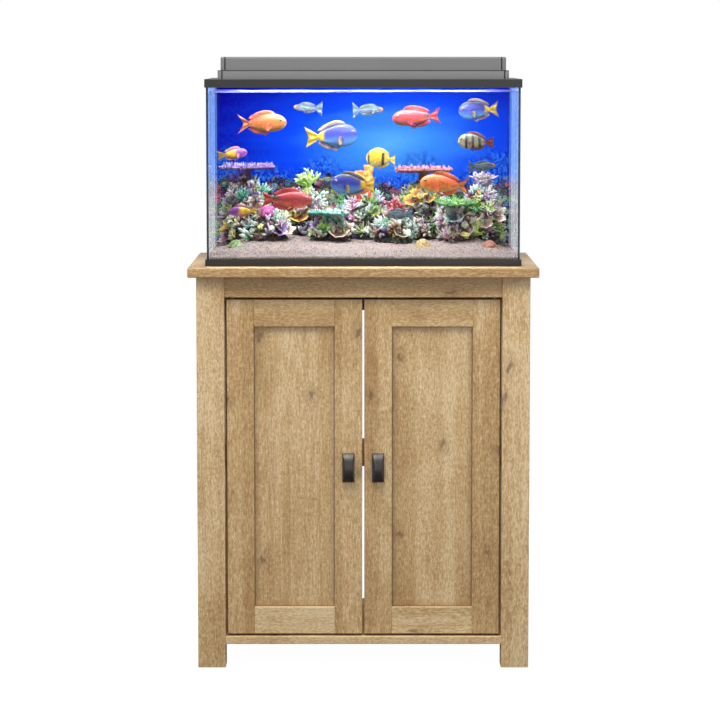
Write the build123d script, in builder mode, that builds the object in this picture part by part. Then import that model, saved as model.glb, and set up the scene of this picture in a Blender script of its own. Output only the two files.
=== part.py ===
from build123d import *
import os
from math import atan2, cos, degrees, pi, radians, sin

# All sizes are in millimetres. +Z is up, the front faces -Y, and the origin is on the floor under the middle.

# Stand: overall sizes
STAND_HEIGHT = 791
TOP_WIDTH = 680
TOP_DEPTH = 400
TOP_THICKNESS = 19
TOP_OVERHANG = 16
TOP_ROUND = 2.5
EDGE_ROUND = 1.5

# Stand: legs, panels and rails
LEG_WIDTH = 54
LEG_DEPTH = 45
SIDE_THICKNESS = 15
SIDE_INSET = 8
BOTTOM_CLEARANCE = 49
BOTTOM_THICKNESS = 15
BOTTOM_INSET = 2
APRON_HEIGHT = 40
APRON_THICKNESS = 18
APRON_INSET = 6
STRETCHER_HEIGHT = 98
STRETCHER_THICKNESS = 18
STRETCHER_INSET = 2

# Stand: loose shelf on four spoon pins
SHELF_TOP = 410
SHELF_THICKNESS = 15
SHELF_GAP = 1
SHELF_PIN_RADIUS = 2.5
SHELF_PIN_DEPTH = 8
SPOON_LENGTH = 14
SPOON_WIDTH = 12
SPOON_THICKNESS = 6
SHELF_PIN_INSET = 40

# Stand: nail-on glides and cam fittings
GLIDE_RADIUS = 11
GLIDE_HEIGHT = 3
GLIDE_ROUND = 1
NAIL_RADIUS = 2
NAIL_LENGTH = 12
CAM_RADIUS = 7.5
CAM_DEPTH = 12.5
CAM_SETBACK = 24
CAM_DROP = 16
CAM_SLOT_WIDTH = 1.6
CAM_SLOT_DEPTH = 2
BOLT_RADIUS = 3
BOLT_BITE = 11

# Doors
DOOR_THICKNESS = 18
DOOR_INSET = 10
SIDE_GAP = 3
MEETING_GAP = 4
END_GAP = 3.5
STILE_WIDTH = 54
RAIL_HEIGHT = 54
PANEL_THICKNESS = 6
PANEL_SETBACK = 8
GROOVE_DEPTH = 8
GROOVE_SPARE = 0.5

# Door pivots
PIVOT_INSET = 12
PIVOT_SETBACK = 7
PIN_RADIUS = 2.5
PIN_IN_DOOR = 25
PIN_IN_BUSH = 9
BUSH_RADIUS = 4
BUSH_DEPTH = 12
FLANGE_RADIUS = 7

# Door pulls and their screws
PULL_WIDTH = 24
PULL_HEIGHT = 56
PULL_PLATE = 3
PULL_END_REACH = 8
PULL_REACH = 20
PULL_WAIST = 15
PULL_ROUND = 1.2
SCREW_RADIUS = 2
SCREW_BITE = 8
SCREW_SPACING = 32
SCREW_HEAD_RADIUS = 4
SCREW_HEAD_HEIGHT = 2.5

# Magnetic catch at the top of the doors
CATCH_WIDTH = 56
CATCH_DEPTH = 20
CATCH_HEIGHT = 49
CATCH_TOP_GAP = 12
STRIKE_WIDTH = 20
STRIKE_HEIGHT = 13
STRIKE_THICKNESS = 1.2
STRIKE_X = 15
STRIKE_DROP = 2.5
MAGNET_WIDTH = 18
MAGNET_DEPTH = 5
MAGNET_HEIGHT = 10

# Tank frames and glass
TANK_WIDTH = 616
TANK_DEPTH = 310
TANK_HEIGHT = 363
FRAME_WALL = 2.5
FRAME_CORNER = 3
FRAME_LEDGE = 3
BASE_FRAME_HEIGHT = 13
BASE_LEDGE_WIDTH = 20
TOP_FRAME_HEIGHT = 16.5
TOP_FLANGE_WIDTH = 34
GLASS_THICKNESS = 5
FLOOR_GLASS_THICKNESS = 6
BEAD_LEG = 5
BEAD_STOP = 20
SHEET_THICKNESS = 1
SHEET_MARGIN = 1

# Hood: the fixed base on the tank frame
HOOD_SIDE_BEARING = 9
HOOD_BEARING = 14
HOOD_BASE_HEIGHT = 16.5
HOOD_DECK = 3
HOOD_WALL = 2.5
LIP_GAP = 1
LIP_WALL = 3
LIP_DEPTH = 8
CAP_LENGTH = 10
SEAM_WIDTH = 1.5
SEAM_DEPTH = 1.5
CAP_ROUND = 3

# Hood: the hinged lid with the lamp
LID_SIDE_INSET = 5.5
LID_HEIGHT = 26
LID_FRONT_INSET = 6
LID_REAR_INSET = 10
LID_DRAFT = 2
LID_ROUND = 4
LID_GAP = 0.3
LID_LEDGE = 5
LID_RIB = 1.5
PLUG_LENGTH = 6
PLUG_GAP = 0.3
LENS_THICKNESS = 2.5
BOARD_WIDTH = 60
BOARD_THICKNESS = 1.6
BOARD_DROP = 2
BOARD_FOOT = 3
CHIP_SIZE = 5
CHIP_HEIGHT = 1.2
CHIP_COLUMNS = 12
CHIP_ROW_PITCH = 24

# Hood: hinges, rocker switch and power inlet
HINGE_X = 180
HINGE_BACK = 5
HINGE_RISE = 4.5
KNUCKLE_RADIUS = 3.7
KNUCKLE_LENGTH = 24
EAR_RADIUS = 4
EAR_LENGTH = 8
HINGE_PIN_RADIUS = 1.5
SWITCH_X = 60
SWITCH_DEPTH = 12
SWITCH_WALL = 0.8
BEZEL_WIDTH = 1.5
BEZEL_THICKNESS = 1.2
ROCKER_WIDTH = 12.4
ROCKER_HEIGHT = 7.6
ROCKER_SWING_GAP = 0.9
ROCKER_SIDE_GAP = 0.3
ROCKER_PIVOT_DEPTH = 1
ROCKER_REACH = 3.2
ROCKER_DISH = 0.8
ROCKER_ROOT = 4
ROCKER_TILT = 8
TRUNNION_RADIUS = 1
INLET_X = -60
INLET_RADIUS = 4
INLET_FLANGE_RADIUS = 5.5
INLET_FLANGE = 1.5
INLET_DEPTH = 11
SOCKET_RADIUS = 2.75
SOCKET_DEPTH = 9
CONTACT_RADIUS = 1
CONTACT_LENGTH = 7.5

# Clearances
PRESSED = 0.02
RUNNING = 0.05
SLIDING = 0.1
AXIAL = 0.3
SCREW_PLAY = 0.2
GLASS_PLAY = 0.2

# Gravel: its crest heights above the tank floor, left to right, and the slope up to them from the front pane
GRAVEL_CREST = (14, 44, 35, 28, 27, 37, 13)
GRAVEL_FRONT = 9
GRAVEL_SLOPE_SHARE = 0.56

# Reef rocks on the tank floor: x, y, half width and half depth, as shares of the water's half width and depth
ROCK_SHARES = {
    "far left": (-0.786, 0.530, 0.160, 0.339),
    "mid left": (-0.393, 0.557, 0.167, 0.312),
    "centre": (0.007, 0.570, 0.167, 0.299),
    "mid right": (0.406, 0.543, 0.167, 0.326),
    "far right": (0.799, 0.543, 0.147, 0.326),
    "front left": (-0.633, -0.100, 0.140, 0.200),
    "inner left": (-0.226, -0.060, 0.133, 0.200),
    "inner right": (0.206, -0.080, 0.140, 0.200),
    "front right": (0.619, -0.100, 0.147, 0.200),
}
ROCK_HEIGHTS = {
    "far left": 146,
    "mid left": 120,
    "centre": 104,
    "mid right": 138,
    "far right": 122,
    "front left": 80,
    "inner left": 62,
    "inner right": 68,
    "front right": 84,
}
# Steps that a lump is drawn up in: a share of its height, and a draft in degrees
ROCK_STEPS = ((0.35, 4), (0.37, 10), (0.28, 22))
BRAIN_STEPS = ((0.45, 5), (0.33, 26), (0.22, 46))
ROCK_POINTS = 9
SWELL_SHARES = (0.1, 0.06)
ROCK_TURN = 1.3

# Corals: each stands on a named rock, or on the floor glass at a place given in shares
BRAINS_ON_ROCKS = (("front left", 21, 20),)
BRAINS_ON_FLOOR = ((22, 36), (24, 38), (23, 35))
BRAIN_FLOOR_SHARES = ((-0.839, -0.420), (0.393, -0.420), (0.832, -0.420))
BRAIN_POINTS = 14
TABLES = (("far left", 30, 52), ("mid right", 32, 50), ("inner left", 26, 36), ("front right", 24, 40))
TABLE_STEM = 9
TABLE_PLATE = 6
TABLE_POINTS = 15
TABLE_FLARE = 50
BRANCHINGS = (("mid left", 58), ("far right", 57), ("inner right", 56))
BRANCH_COUNT = 9
TWIG_SIDES = 6
TRUNK_RADIUS = 13
TRUNK_SHARE = 0.28
BRANCH_RADIUS = 5.5
TIP_RADIUS = 2.6
BRANCH_LEAN = 34
LEAN_SPREAD = 0.25
REACH_SPREAD = 0.08
SPONGE_ROCK = "centre"
SPONGE_HEIGHTS = (74, 62, 52, 44)
SPONGE_PITCH = 13
SPONGE_RADIUS = 7
SPONGE_FLARE = 2.5
SPONGE_WALL = 3
SPONGE_SIDES = 10
SPONGE_BORE_SHARE = 0.6

SIDES = ((-1, "left"), (1, "right"))
ENDS = ((-1, "front"), (1, "rear"))

# Levels and planes worked out from the sizes above
base_x = TOP_WIDTH / 2 - TOP_OVERHANG
base_y = TOP_DEPTH / 2 - TOP_OVERHANG
leg_x = base_x - LEG_WIDTH
leg_y = base_y - LEG_DEPTH
under_top = STAND_HEIGHT - TOP_THICKNESS
side_out = base_x - SIDE_INSET
side_in = side_out - SIDE_THICKNESS
bottom_top = BOTTOM_CLEARANCE + BOTTOM_THICKNESS
apron_front = -base_y + APRON_INSET
apron_back = apron_front + APRON_THICKNESS
apron_low = under_top - APRON_HEIGHT
stretcher_back = base_y - STRETCHER_INSET
stretcher_front = stretcher_back - STRETCHER_THICKNESS
stretcher_low = under_top - STRETCHER_HEIGHT

door_front = -base_y + DOOR_INSET
door_back = door_front + DOOR_THICKNESS
door_low = bottom_top + END_GAP
door_high = apron_low - END_GAP
door_middle = (door_low + door_high) / 2
door_outer = leg_x - SIDE_GAP
door_inner = MEETING_GAP / 2
groove_y = (door_front + PANEL_SETBACK - SLIDING, door_front + PANEL_SETBACK + PANEL_THICKNESS + SLIDING)
tongue_y = (door_front + PANEL_SETBACK, door_front + PANEL_SETBACK + PANEL_THICKNESS)
tongue = GROOVE_DEPTH - GROOVE_SPARE
pivot_x = door_outer - PIVOT_INSET
pivot_y = door_front + PIVOT_SETBACK
pull_x = door_inner + STILE_WIDTH / 2
screw_heights = (door_middle - SCREW_SPACING / 2, door_middle + SCREW_SPACING / 2)
strike_high = door_high - STRIKE_DROP
strike_back = door_back + STRIKE_THICKNESS
catch_front = strike_back + AXIAL
catch_back = apron_back + CATCH_DEPTH
catch_high = under_top - CATCH_TOP_GAP
catch_low = catch_high - CATCH_HEIGHT
catch_step = apron_low + AXIAL

glass_x = TANK_WIDTH / 2 - FRAME_WALL - GLASS_PLAY
glass_y = TANK_DEPTH / 2 - FRAME_WALL - GLASS_PLAY
water_x = glass_x - GLASS_THICKNESS
water_y = glass_y - GLASS_THICKNESS
tank_top = STAND_HEIGHT + TANK_HEIGHT
glass_low = STAND_HEIGHT + FRAME_LEDGE
glass_high = tank_top - FRAME_LEDGE
tank_floor = glass_low + FLOOR_GLASS_THICKNESS

deck_top = tank_top + HOOD_BASE_HEIGHT
mouth_x = TANK_WIDTH / 2 - TOP_FLANGE_WIDTH
mouth_y = TANK_DEPTH / 2 - TOP_FLANGE_WIDTH
lip_x = mouth_x - LIP_GAP
lip_y = mouth_y - LIP_GAP
hood_mouth_x = lip_x - LIP_WALL
hood_mouth_y = lip_y - LIP_WALL
hood_front = -mouth_y - HOOD_BEARING
hood_back = mouth_y + HOOD_BEARING
hood_end = mouth_x + HOOD_SIDE_BEARING
hood_seam = hood_end - CAP_LENGTH

lid_low = deck_top + LID_GAP
lid_high = lid_low + LID_HEIGHT
lid_front = hood_front + LID_FRONT_INSET
lid_back = hood_back - LID_REAR_INSET
lid_middle = (lid_front + lid_back) / 2
lid_end = hood_end - LID_SIDE_INSET
lid_seam = lid_end - CAP_LENGTH
lid_roof = lid_high - HOOD_WALL
lens_low = lid_low + LID_RIB + SLIDING
lens_high = lens_low + LENS_THICKNESS
rib_low = lens_high + SLIDING
board_high = lid_roof - BOARD_DROP
board_low = board_high - BOARD_THICKNESS
foot_high = board_low - SLIDING
foot_low = foot_high - LID_RIB
insert_end = lid_seam - PLUG_LENGTH - PLUG_GAP
chip_pitch = 2 * insert_end / CHIP_COLUMNS
hinge_y = lid_back + HINGE_BACK
hinge_z = deck_top + HINGE_RISE
panel_z = lid_low + LID_HEIGHT / 2
rocker_y = lid_back - ROCKER_PIVOT_DEPTH
cavity_x = ROCKER_WIDTH / 2 + ROCKER_SWING_GAP
cavity_z = ROCKER_HEIGHT / 2 + ROCKER_SIDE_GAP

# Cam fittings: the end that they serve, the face that the cam is let into, and its height
CAMS = (
    (-1, apron_back, under_top - CAM_DROP),
    (1, stretcher_front, under_top - CAM_DROP),
    (1, stretcher_front, stretcher_low + CAM_DROP),
)

os.makedirs("parts", exist_ok=True)


def finish(piece, name):
    """Label a finished piece and write it under its own name."""
    piece.part.label = name
    export_step(piece.part, f"parts/{name}.step")


def block(x, y, z, mode=Mode.ADD):
    """Add or cut a square block between three pairs of limits."""
    with Locations(((x[0] + x[1]) / 2, (y[0] + y[1]) / 2, (z[0] + z[1]) / 2)):
        Box(abs(x[1] - x[0]), abs(y[1] - y[0]), abs(z[1] - z[0]), mode=mode)


def rod(start, end, radius, mode=Mode.ADD):
    """Add or cut a round rod between two points."""
    line = Vector(*end) - Vector(*start)
    with Locations(Plane(origin=start, z_dir=line).location):
        Cylinder(radius, line.length, align=(Align.CENTER, Align.CENTER, Align.MIN), mode=mode)


def cam_bolt(side, end, face, height, radius, mode=Mode.ADD):
    """Add or cut the bolt that runs from a leg to the edge of a cam."""
    bolt_y = face + end * CAM_DEPTH / 2
    start = (side * (leg_x + BOLT_BITE), bolt_y, height)
    rod(start, (side * (leg_x - CAM_SETBACK + CAM_RADIUS), bolt_y, height), radius, mode)


# Top board with rounded edges
with BuildPart() as top_board:
    block((-TOP_WIDTH / 2, TOP_WIDTH / 2), (-TOP_DEPTH / 2, TOP_DEPTH / 2), (under_top, STAND_HEIGHT))
    fillet(top_board.edges(), TOP_ROUND)
finish(top_board, "top_board")

# Four corner legs, bored for the glide nails and the cam bolts
for side, hand in SIDES:
    for end, place in ENDS:
        leg_mid = (side * (leg_x + LEG_WIDTH / 2), end * (leg_y + LEG_DEPTH / 2))
        with BuildPart() as leg:
            block((side * leg_x, side * base_x), (end * leg_y, end * base_y), (GLIDE_HEIGHT, under_top))
            fillet(leg.edges().filter_by(Axis.Z), EDGE_ROUND)
            rod(
                (*leg_mid, GLIDE_HEIGHT),
                (*leg_mid, GLIDE_HEIGHT + NAIL_LENGTH),
                NAIL_RADIUS + PRESSED,
                Mode.SUBTRACT,
            )
            for cam_end, face, height in CAMS:
                if cam_end == end:
                    cam_bolt(side, end, face, height, BOLT_RADIUS + PRESSED, Mode.SUBTRACT)
        finish(leg, f"{hand}_{place}_leg")

# Nail-on glides under the legs
with BuildPart() as foot_glides:
    for side, hand in SIDES:
        for end, place in ENDS:
            leg_mid = (side * (leg_x + LEG_WIDTH / 2), end * (leg_y + LEG_DEPTH / 2))
            with BuildSketch(Plane(origin=(*leg_mid, 0), x_dir=(1, 0, 0), z_dir=(0, -1, 0))):
                with BuildLine():
                    Polyline(
                        (0, 0),
                        (GLIDE_RADIUS - GLIDE_ROUND, 0),
                        (GLIDE_RADIUS, GLIDE_ROUND),
                        (GLIDE_RADIUS, GLIDE_HEIGHT),
                        (NAIL_RADIUS, GLIDE_HEIGHT),
                        (NAIL_RADIUS, GLIDE_HEIGHT + NAIL_LENGTH),
                        (0, GLIDE_HEIGHT + NAIL_LENGTH),
                        close=True,
                    )
                make_face()
            revolve(axis=Axis((*leg_mid, 0), (0, 0, 1)))
finish(foot_glides, "foot_glides")

# Side panels between the legs, bored for the shelf pins
pin_z = SHELF_TOP - SHELF_THICKNESS - SPOON_THICKNESS / 2
pin_y = leg_y - SHELF_PIN_INSET
for side, hand in SIDES:
    with BuildPart() as side_panel:
        block((side * side_in, side * side_out), (-leg_y, leg_y), (BOTTOM_CLEARANCE, under_top))
        for end, place in ENDS:
            rod(
                (side * side_in, end * pin_y, pin_z),
                (side * (side_in + SHELF_PIN_DEPTH), end * pin_y, pin_z),
                SHELF_PIN_RADIUS + PRESSED,
                Mode.SUBTRACT,
            )
    finish(side_panel, f"{hand}_side_panel")

# Spoon pins: a round stem in the side panel and a flat spoon under the shelf
with BuildPart() as shelf_pins:
    for side, hand in SIDES:
        for end, place in ENDS:
            rod(
                (side * side_in, end * pin_y, pin_z),
                (side * (side_in + SHELF_PIN_DEPTH), end * pin_y, pin_z),
                SHELF_PIN_RADIUS,
            )
            block(
                (side * (side_in - SPOON_LENGTH), side * side_in),
                (end * pin_y - SPOON_WIDTH / 2, end * pin_y + SPOON_WIDTH / 2),
                (pin_z - SPOON_THICKNESS / 2, pin_z + SPOON_THICKNESS / 2),
            )
finish(shelf_pins, "shelf_pins")

# Bottom panel, notched round the legs and bored for the lower door bushes
with BuildPart() as bottom_panel:
    with BuildSketch(Plane.XY.offset(BOTTOM_CLEARANCE)):
        Rectangle(2 * leg_x, 2 * (base_y - BOTTOM_INSET))
        Rectangle(2 * side_in, 2 * leg_y)
    extrude(amount=BOTTOM_THICKNESS)
    fillet(bottom_panel.edges().filter_by(Axis.X).group_by(Axis.Y)[0], EDGE_ROUND)
    for side, hand in SIDES:
        rod(
            (side * pivot_x, pivot_y, bottom_top),
            (side * pivot_x, pivot_y, bottom_top - BUSH_DEPTH),
            BUSH_RADIUS + PRESSED,
            Mode.SUBTRACT,
        )
finish(bottom_panel, "bottom_panel")

# Loose middle shelf
with BuildPart() as middle_shelf:
    block(
        (-side_in + SHELF_GAP, side_in - SHELF_GAP),
        (-leg_y + SHELF_GAP, leg_y - SHELF_GAP),
        (SHELF_TOP - SHELF_THICKNESS, SHELF_TOP),
    )
    fillet(middle_shelf.edges().filter_by(Axis.X).group_by(Axis.Y)[0], EDGE_ROUND)
finish(middle_shelf, "middle_shelf")

# Front apron, bored for the upper door bushes and the cams
with BuildPart() as front_apron:
    block((-leg_x, leg_x), (apron_front, apron_back), (apron_low, under_top))
    fillet(front_apron.edges().filter_by(Axis.X).group_by(Axis.Y)[0].group_by(Axis.Z)[0], EDGE_ROUND)
    for side, hand in SIDES:
        rod(
            (side * pivot_x, pivot_y, apron_low),
            (side * pivot_x, pivot_y, apron_low + BUSH_DEPTH),
            BUSH_RADIUS + PRESSED,
            Mode.SUBTRACT,
        )
        for end, face, height in CAMS:
            if end < 0:
                cam_x = side * (leg_x - CAM_SETBACK)
                rod((cam_x, face, height), (cam_x, face + end * CAM_DEPTH, height), CAM_RADIUS + PRESSED,
                    Mode.SUBTRACT)
                cam_bolt(side, end, face, height, BOLT_RADIUS + PRESSED, Mode.SUBTRACT)
finish(front_apron, "front_apron")

# Rear stretcher across the open back, bored for the cams
with BuildPart() as rear_stretcher:
    block((-leg_x, leg_x), (stretcher_front, stretcher_back), (stretcher_low, under_top))
    for side, hand in SIDES:
        for end, face, height in CAMS:
            if end > 0:
                cam_x = side * (leg_x - CAM_SETBACK)
                rod((cam_x, face, height), (cam_x, face + end * CAM_DEPTH, height), CAM_RADIUS + PRESSED,
                    Mode.SUBTRACT)
                cam_bolt(side, end, face, height, BOLT_RADIUS + PRESSED, Mode.SUBTRACT)
finish(rear_stretcher, "rear_stretcher")

# Cam fittings: slotted cams in the rails and the bolts that they draw in
with BuildPart() as cam_fittings:
    for side, hand in SIDES:
        for end, face, height in CAMS:
            cam_x = side * (leg_x - CAM_SETBACK)
            rod((cam_x, face, height), (cam_x, face + end * CAM_DEPTH, height), CAM_RADIUS)
            for across, along in ((CAM_SLOT_WIDTH, CAM_RADIUS), (CAM_RADIUS, CAM_SLOT_WIDTH)):
                block(
                    (cam_x - across / 2, cam_x + across / 2),
                    (face, face + end * CAM_SLOT_DEPTH),
                    (height - along / 2, height + along / 2),
                    Mode.SUBTRACT,
                )
    for side, hand in SIDES:
        for end, face, height in CAMS:
            bolt_y = face + end * CAM_DEPTH / 2
            rod(
                (side * (leg_x + BOLT_BITE), bolt_y, height),
                (side * (leg_x - CAM_SETBACK + CAM_RADIUS + SLIDING), bolt_y, height),
                BOLT_RADIUS,
            )
finish(cam_fittings, "cam_fittings")

# Flanged bushes for the door pivots, in the bottom panel and the apron
flange = END_GAP - AXIAL
with BuildPart() as pivot_bushes:
    for side, hand in SIDES:
        for seat, up in ((bottom_top, 1), (apron_low, -1)):
            pivot = (side * pivot_x, pivot_y, seat)
            with BuildSketch(Plane(origin=pivot, x_dir=(1, 0, 0), z_dir=(0, -1, 0))):
                with BuildLine():
                    Polyline(
                        (PIN_RADIUS + RUNNING, -up * BUSH_DEPTH),
                        (BUSH_RADIUS, -up * BUSH_DEPTH),
                        (BUSH_RADIUS, 0),
                        (FLANGE_RADIUS, 0),
                        (FLANGE_RADIUS, up * flange),
                        (PIN_RADIUS + RUNNING, up * flange),
                        close=True,
                    )
                make_face()
            revolve(axis=Axis(pivot, (0, 0, 1)))
finish(pivot_bushes, "pivot_bushes")

# Magnetic catch: a stepped housing behind the apron, with a pocket for each magnet
magnet_z = strike_high - STRIKE_HEIGHT / 2
with BuildPart() as magnetic_catch:
    with BuildSketch(Plane.YZ.offset(-CATCH_WIDTH / 2)):
        with BuildLine():
            Polyline(
                (apron_back, catch_high),
                (catch_back, catch_high),
                (catch_back, catch_low),
                (catch_front, catch_low),
                (catch_front, catch_step),
                (apron_back, catch_step),
                close=True,
            )
        make_face()
    extrude(amount=CATCH_WIDTH)
    for side, hand in SIDES:
        block(
            (side * STRIKE_X - MAGNET_WIDTH / 2, side * STRIKE_X + MAGNET_WIDTH / 2),
            (catch_front, catch_front + MAGNET_DEPTH),
            (magnet_z - MAGNET_HEIGHT / 2, magnet_z + MAGNET_HEIGHT / 2),
            Mode.SUBTRACT,
        )
finish(magnetic_catch, "magnetic_catch")

with BuildPart() as catch_magnets:
    for side, hand in SIDES:
        block(
            (side * STRIKE_X - MAGNET_WIDTH / 2, side * STRIKE_X + MAGNET_WIDTH / 2),
            (catch_front, catch_front + MAGNET_DEPTH),
            (magnet_z - MAGNET_HEIGHT / 2, magnet_z + MAGNET_HEIGHT / 2),
        )
finish(catch_magnets, "catch_magnets")

# Two frame-and-panel doors with their pulls, pivots and strike plates
for side, hand in SIDES:
    outer_x = (side * (door_outer - STILE_WIDTH), side * door_outer)
    inner_x = (side * door_inner, side * (door_inner + STILE_WIDTH))
    rail_x = (inner_x[1], outer_x[0])

    with BuildPart() as outer_stile:
        block(outer_x, (door_front, door_back), (door_low, door_high))
        fillet(outer_stile.edges().filter_by(Axis.Z), EDGE_ROUND)
        block((outer_x[0], outer_x[0] + side * GROOVE_DEPTH), groove_y, (door_low, door_high), Mode.SUBTRACT)
        for level, into in ((door_low, PIN_IN_DOOR), (door_high, -PIN_IN_DOOR)):
            rod(
                (side * pivot_x, pivot_y, level),
                (side * pivot_x, pivot_y, level + into),
                PIN_RADIUS + PRESSED,
                Mode.SUBTRACT,
            )
    finish(outer_stile, f"{hand}_outer_stile")

    with BuildPart() as inner_stile:
        block(inner_x, (door_front, door_back), (door_low, door_high))
        fillet(inner_stile.edges().filter_by(Axis.Z), EDGE_ROUND)
        block((inner_x[1] - side * GROOVE_DEPTH, inner_x[1]), groove_y, (door_low, door_high), Mode.SUBTRACT)
        for level in screw_heights:
            rod(
                (side * pull_x, door_front, level),
                (side * pull_x, door_back, level),
                SCREW_RADIUS + SCREW_PLAY,
                Mode.SUBTRACT,
            )
    finish(inner_stile, f"{hand}_inner_stile")

    for rail_name, low, edge in (
        ("top_rail", door_high - RAIL_HEIGHT, door_high - RAIL_HEIGHT),
        ("bottom_rail", door_low, door_low + RAIL_HEIGHT),
    ):
        inward = 1 if edge == low else -1
        with BuildPart() as rail:
            block(rail_x, (door_front, door_back), (low, low + RAIL_HEIGHT))
            fillet(rail.edges().filter_by(Axis.X), EDGE_ROUND)
            block((rail_x[0] - side * tongue, rail_x[1] + side * tongue), tongue_y, (low, low + RAIL_HEIGHT))
            block(
                (rail_x[0] - side * GROOVE_DEPTH, rail_x[1] + side * GROOVE_DEPTH),
                groove_y,
                (edge, edge + inward * GROOVE_DEPTH),
                Mode.SUBTRACT,
            )
        finish(rail, f"{hand}_{rail_name}")

    with BuildPart() as door_panel:
        block(
            (rail_x[0] - side * tongue, rail_x[1] + side * tongue),
            tongue_y,
            (door_low + RAIL_HEIGHT - tongue, door_high - RAIL_HEIGHT + tongue),
        )
    finish(door_panel, f"{hand}_door_panel")

    # Waisted bow pull: a bowed side profile, trimmed by a waisted front outline, on a thin plate
    seat = (side * pull_x, door_front, door_middle)
    with BuildPart() as door_handle:
        with BuildSketch(Plane(origin=seat, x_dir=(0, -1, 0), z_dir=(1, 0, 0))):
            with BuildLine():
                Polyline(
                    (PULL_END_REACH, -PULL_HEIGHT / 2),
                    (0, -PULL_HEIGHT / 2),
                    (0, PULL_HEIGHT / 2),
                    (PULL_END_REACH, PULL_HEIGHT / 2),
                )
                ThreePointArc(
                    (PULL_END_REACH, PULL_HEIGHT / 2),
                    (PULL_REACH, 0),
                    (PULL_END_REACH, -PULL_HEIGHT / 2),
                )
            make_face()
        extrude(amount=PULL_WIDTH / 2, both=True)
        with BuildSketch(Plane(origin=seat, x_dir=(1, 0, 0), z_dir=(0, -1, 0))):
            with BuildLine():
                Line((-PULL_WIDTH / 2, PULL_HEIGHT / 2), (PULL_WIDTH / 2, PULL_HEIGHT / 2))
                ThreePointArc(
                    (PULL_WIDTH / 2, PULL_HEIGHT / 2),
                    (PULL_WAIST / 2, 0),
                    (PULL_WIDTH / 2, -PULL_HEIGHT / 2),
                )
                Line((PULL_WIDTH / 2, -PULL_HEIGHT / 2), (-PULL_WIDTH / 2, -PULL_HEIGHT / 2))
                ThreePointArc(
                    (-PULL_WIDTH / 2, -PULL_HEIGHT / 2),
                    (-PULL_WAIST / 2, 0),
                    (-PULL_WIDTH / 2, PULL_HEIGHT / 2),
                )
            make_face()
        extrude(amount=PULL_REACH, mode=Mode.INTERSECT)
        fillet(door_handle.faces().sort_by(Axis.Y)[0].edges(), PULL_ROUND)
        block(
            (seat[0] - PULL_WIDTH / 2, seat[0] + PULL_WIDTH / 2),
            (door_front - PULL_PLATE, door_front),
            (door_middle - PULL_HEIGHT / 2, door_middle + PULL_HEIGHT / 2),
        )
        for level in screw_heights:
            rod(
                (seat[0], door_front, level),
                (seat[0], door_front - SCREW_BITE, level),
                SCREW_RADIUS + PRESSED,
                Mode.SUBTRACT,
            )
    finish(door_handle, f"{hand}_door_handle")

    with BuildPart() as handle_screws:
        for level in screw_heights:
            rod((seat[0], door_front - SCREW_BITE, level), (seat[0], door_back, level), SCREW_RADIUS)
            rod(
                (seat[0], door_back, level),
                (seat[0], door_back + SCREW_HEAD_HEIGHT, level),
                SCREW_HEAD_RADIUS,
            )
    finish(handle_screws, f"{hand}_handle_screws")

    with BuildPart() as strike_plate:
        block(
            (side * STRIKE_X - STRIKE_WIDTH / 2, side * STRIKE_X + STRIKE_WIDTH / 2),
            (door_back, strike_back),
            (strike_high - STRIKE_HEIGHT, strike_high),
        )
    finish(strike_plate, f"{hand}_strike_plate")

    with BuildPart() as pivot_pins:
        for level, into in ((door_low, 1), (door_high, -1)):
            rod(
                (side * pivot_x, pivot_y, level + into * PIN_IN_DOOR),
                (side * pivot_x, pivot_y, level - into * (END_GAP + PIN_IN_BUSH)),
                PIN_RADIUS,
            )
    finish(pivot_pins, f"{hand}_pivot_pins")

# Moulded frames round the bottom and the top of the tank
with BuildPart() as tank_base_frame:
    with BuildSketch(Plane.XY.offset(STAND_HEIGHT)):
        RectangleRounded(TANK_WIDTH, TANK_DEPTH, FRAME_CORNER)
    extrude(amount=BASE_FRAME_HEIGHT)
    with BuildSketch(Plane.XY.offset(glass_low)):
        Rectangle(TANK_WIDTH - 2 * FRAME_WALL, TANK_DEPTH - 2 * FRAME_WALL)
    extrude(amount=BASE_FRAME_HEIGHT, mode=Mode.SUBTRACT)
    with BuildSketch(Plane.XY.offset(STAND_HEIGHT)):
        Rectangle(TANK_WIDTH - 2 * BASE_LEDGE_WIDTH, TANK_DEPTH - 2 * BASE_LEDGE_WIDTH)
    extrude(amount=FRAME_LEDGE, mode=Mode.SUBTRACT)
finish(tank_base_frame, "tank_base_frame")

with BuildPart() as tank_top_frame:
    with BuildSketch(Plane.XY.offset(tank_top - TOP_FRAME_HEIGHT)):
        RectangleRounded(TANK_WIDTH, TANK_DEPTH, FRAME_CORNER)
    extrude(amount=TOP_FRAME_HEIGHT)
    fillet(tank_top_frame.edges().group_by(Axis.Z)[-1], FRAME_WALL / 2)
    with BuildSketch(Plane.XY.offset(glass_high)):
        Rectangle(TANK_WIDTH - 2 * FRAME_WALL, TANK_DEPTH - 2 * FRAME_WALL)
    extrude(amount=-TOP_FRAME_HEIGHT, mode=Mode.SUBTRACT)
    with BuildSketch(Plane.XY.offset(glass_high)):
        Rectangle(2 * mouth_x, 2 * mouth_y)
    extrude(amount=FRAME_LEDGE, mode=Mode.SUBTRACT)
finish(tank_top_frame, "tank_top_frame")

# Five glass panes: the front and rear ones cover the edges of the side ones
for end, place in ENDS:
    with BuildPart() as pane:
        block((-glass_x, glass_x), (end * water_y, end * glass_y), (glass_low, glass_high))
    finish(pane, f"{place}_glass")
for side, hand in SIDES:
    with BuildPart() as pane:
        block((side * water_x, side * glass_x), (-water_y, water_y), (glass_low, glass_high))
    finish(pane, f"{hand}_glass")
with BuildPart() as bottom_glass:
    block((-water_x, water_x), (-water_y, water_y), (glass_low, tank_floor))
finish(bottom_glass, "bottom_glass")

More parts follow.
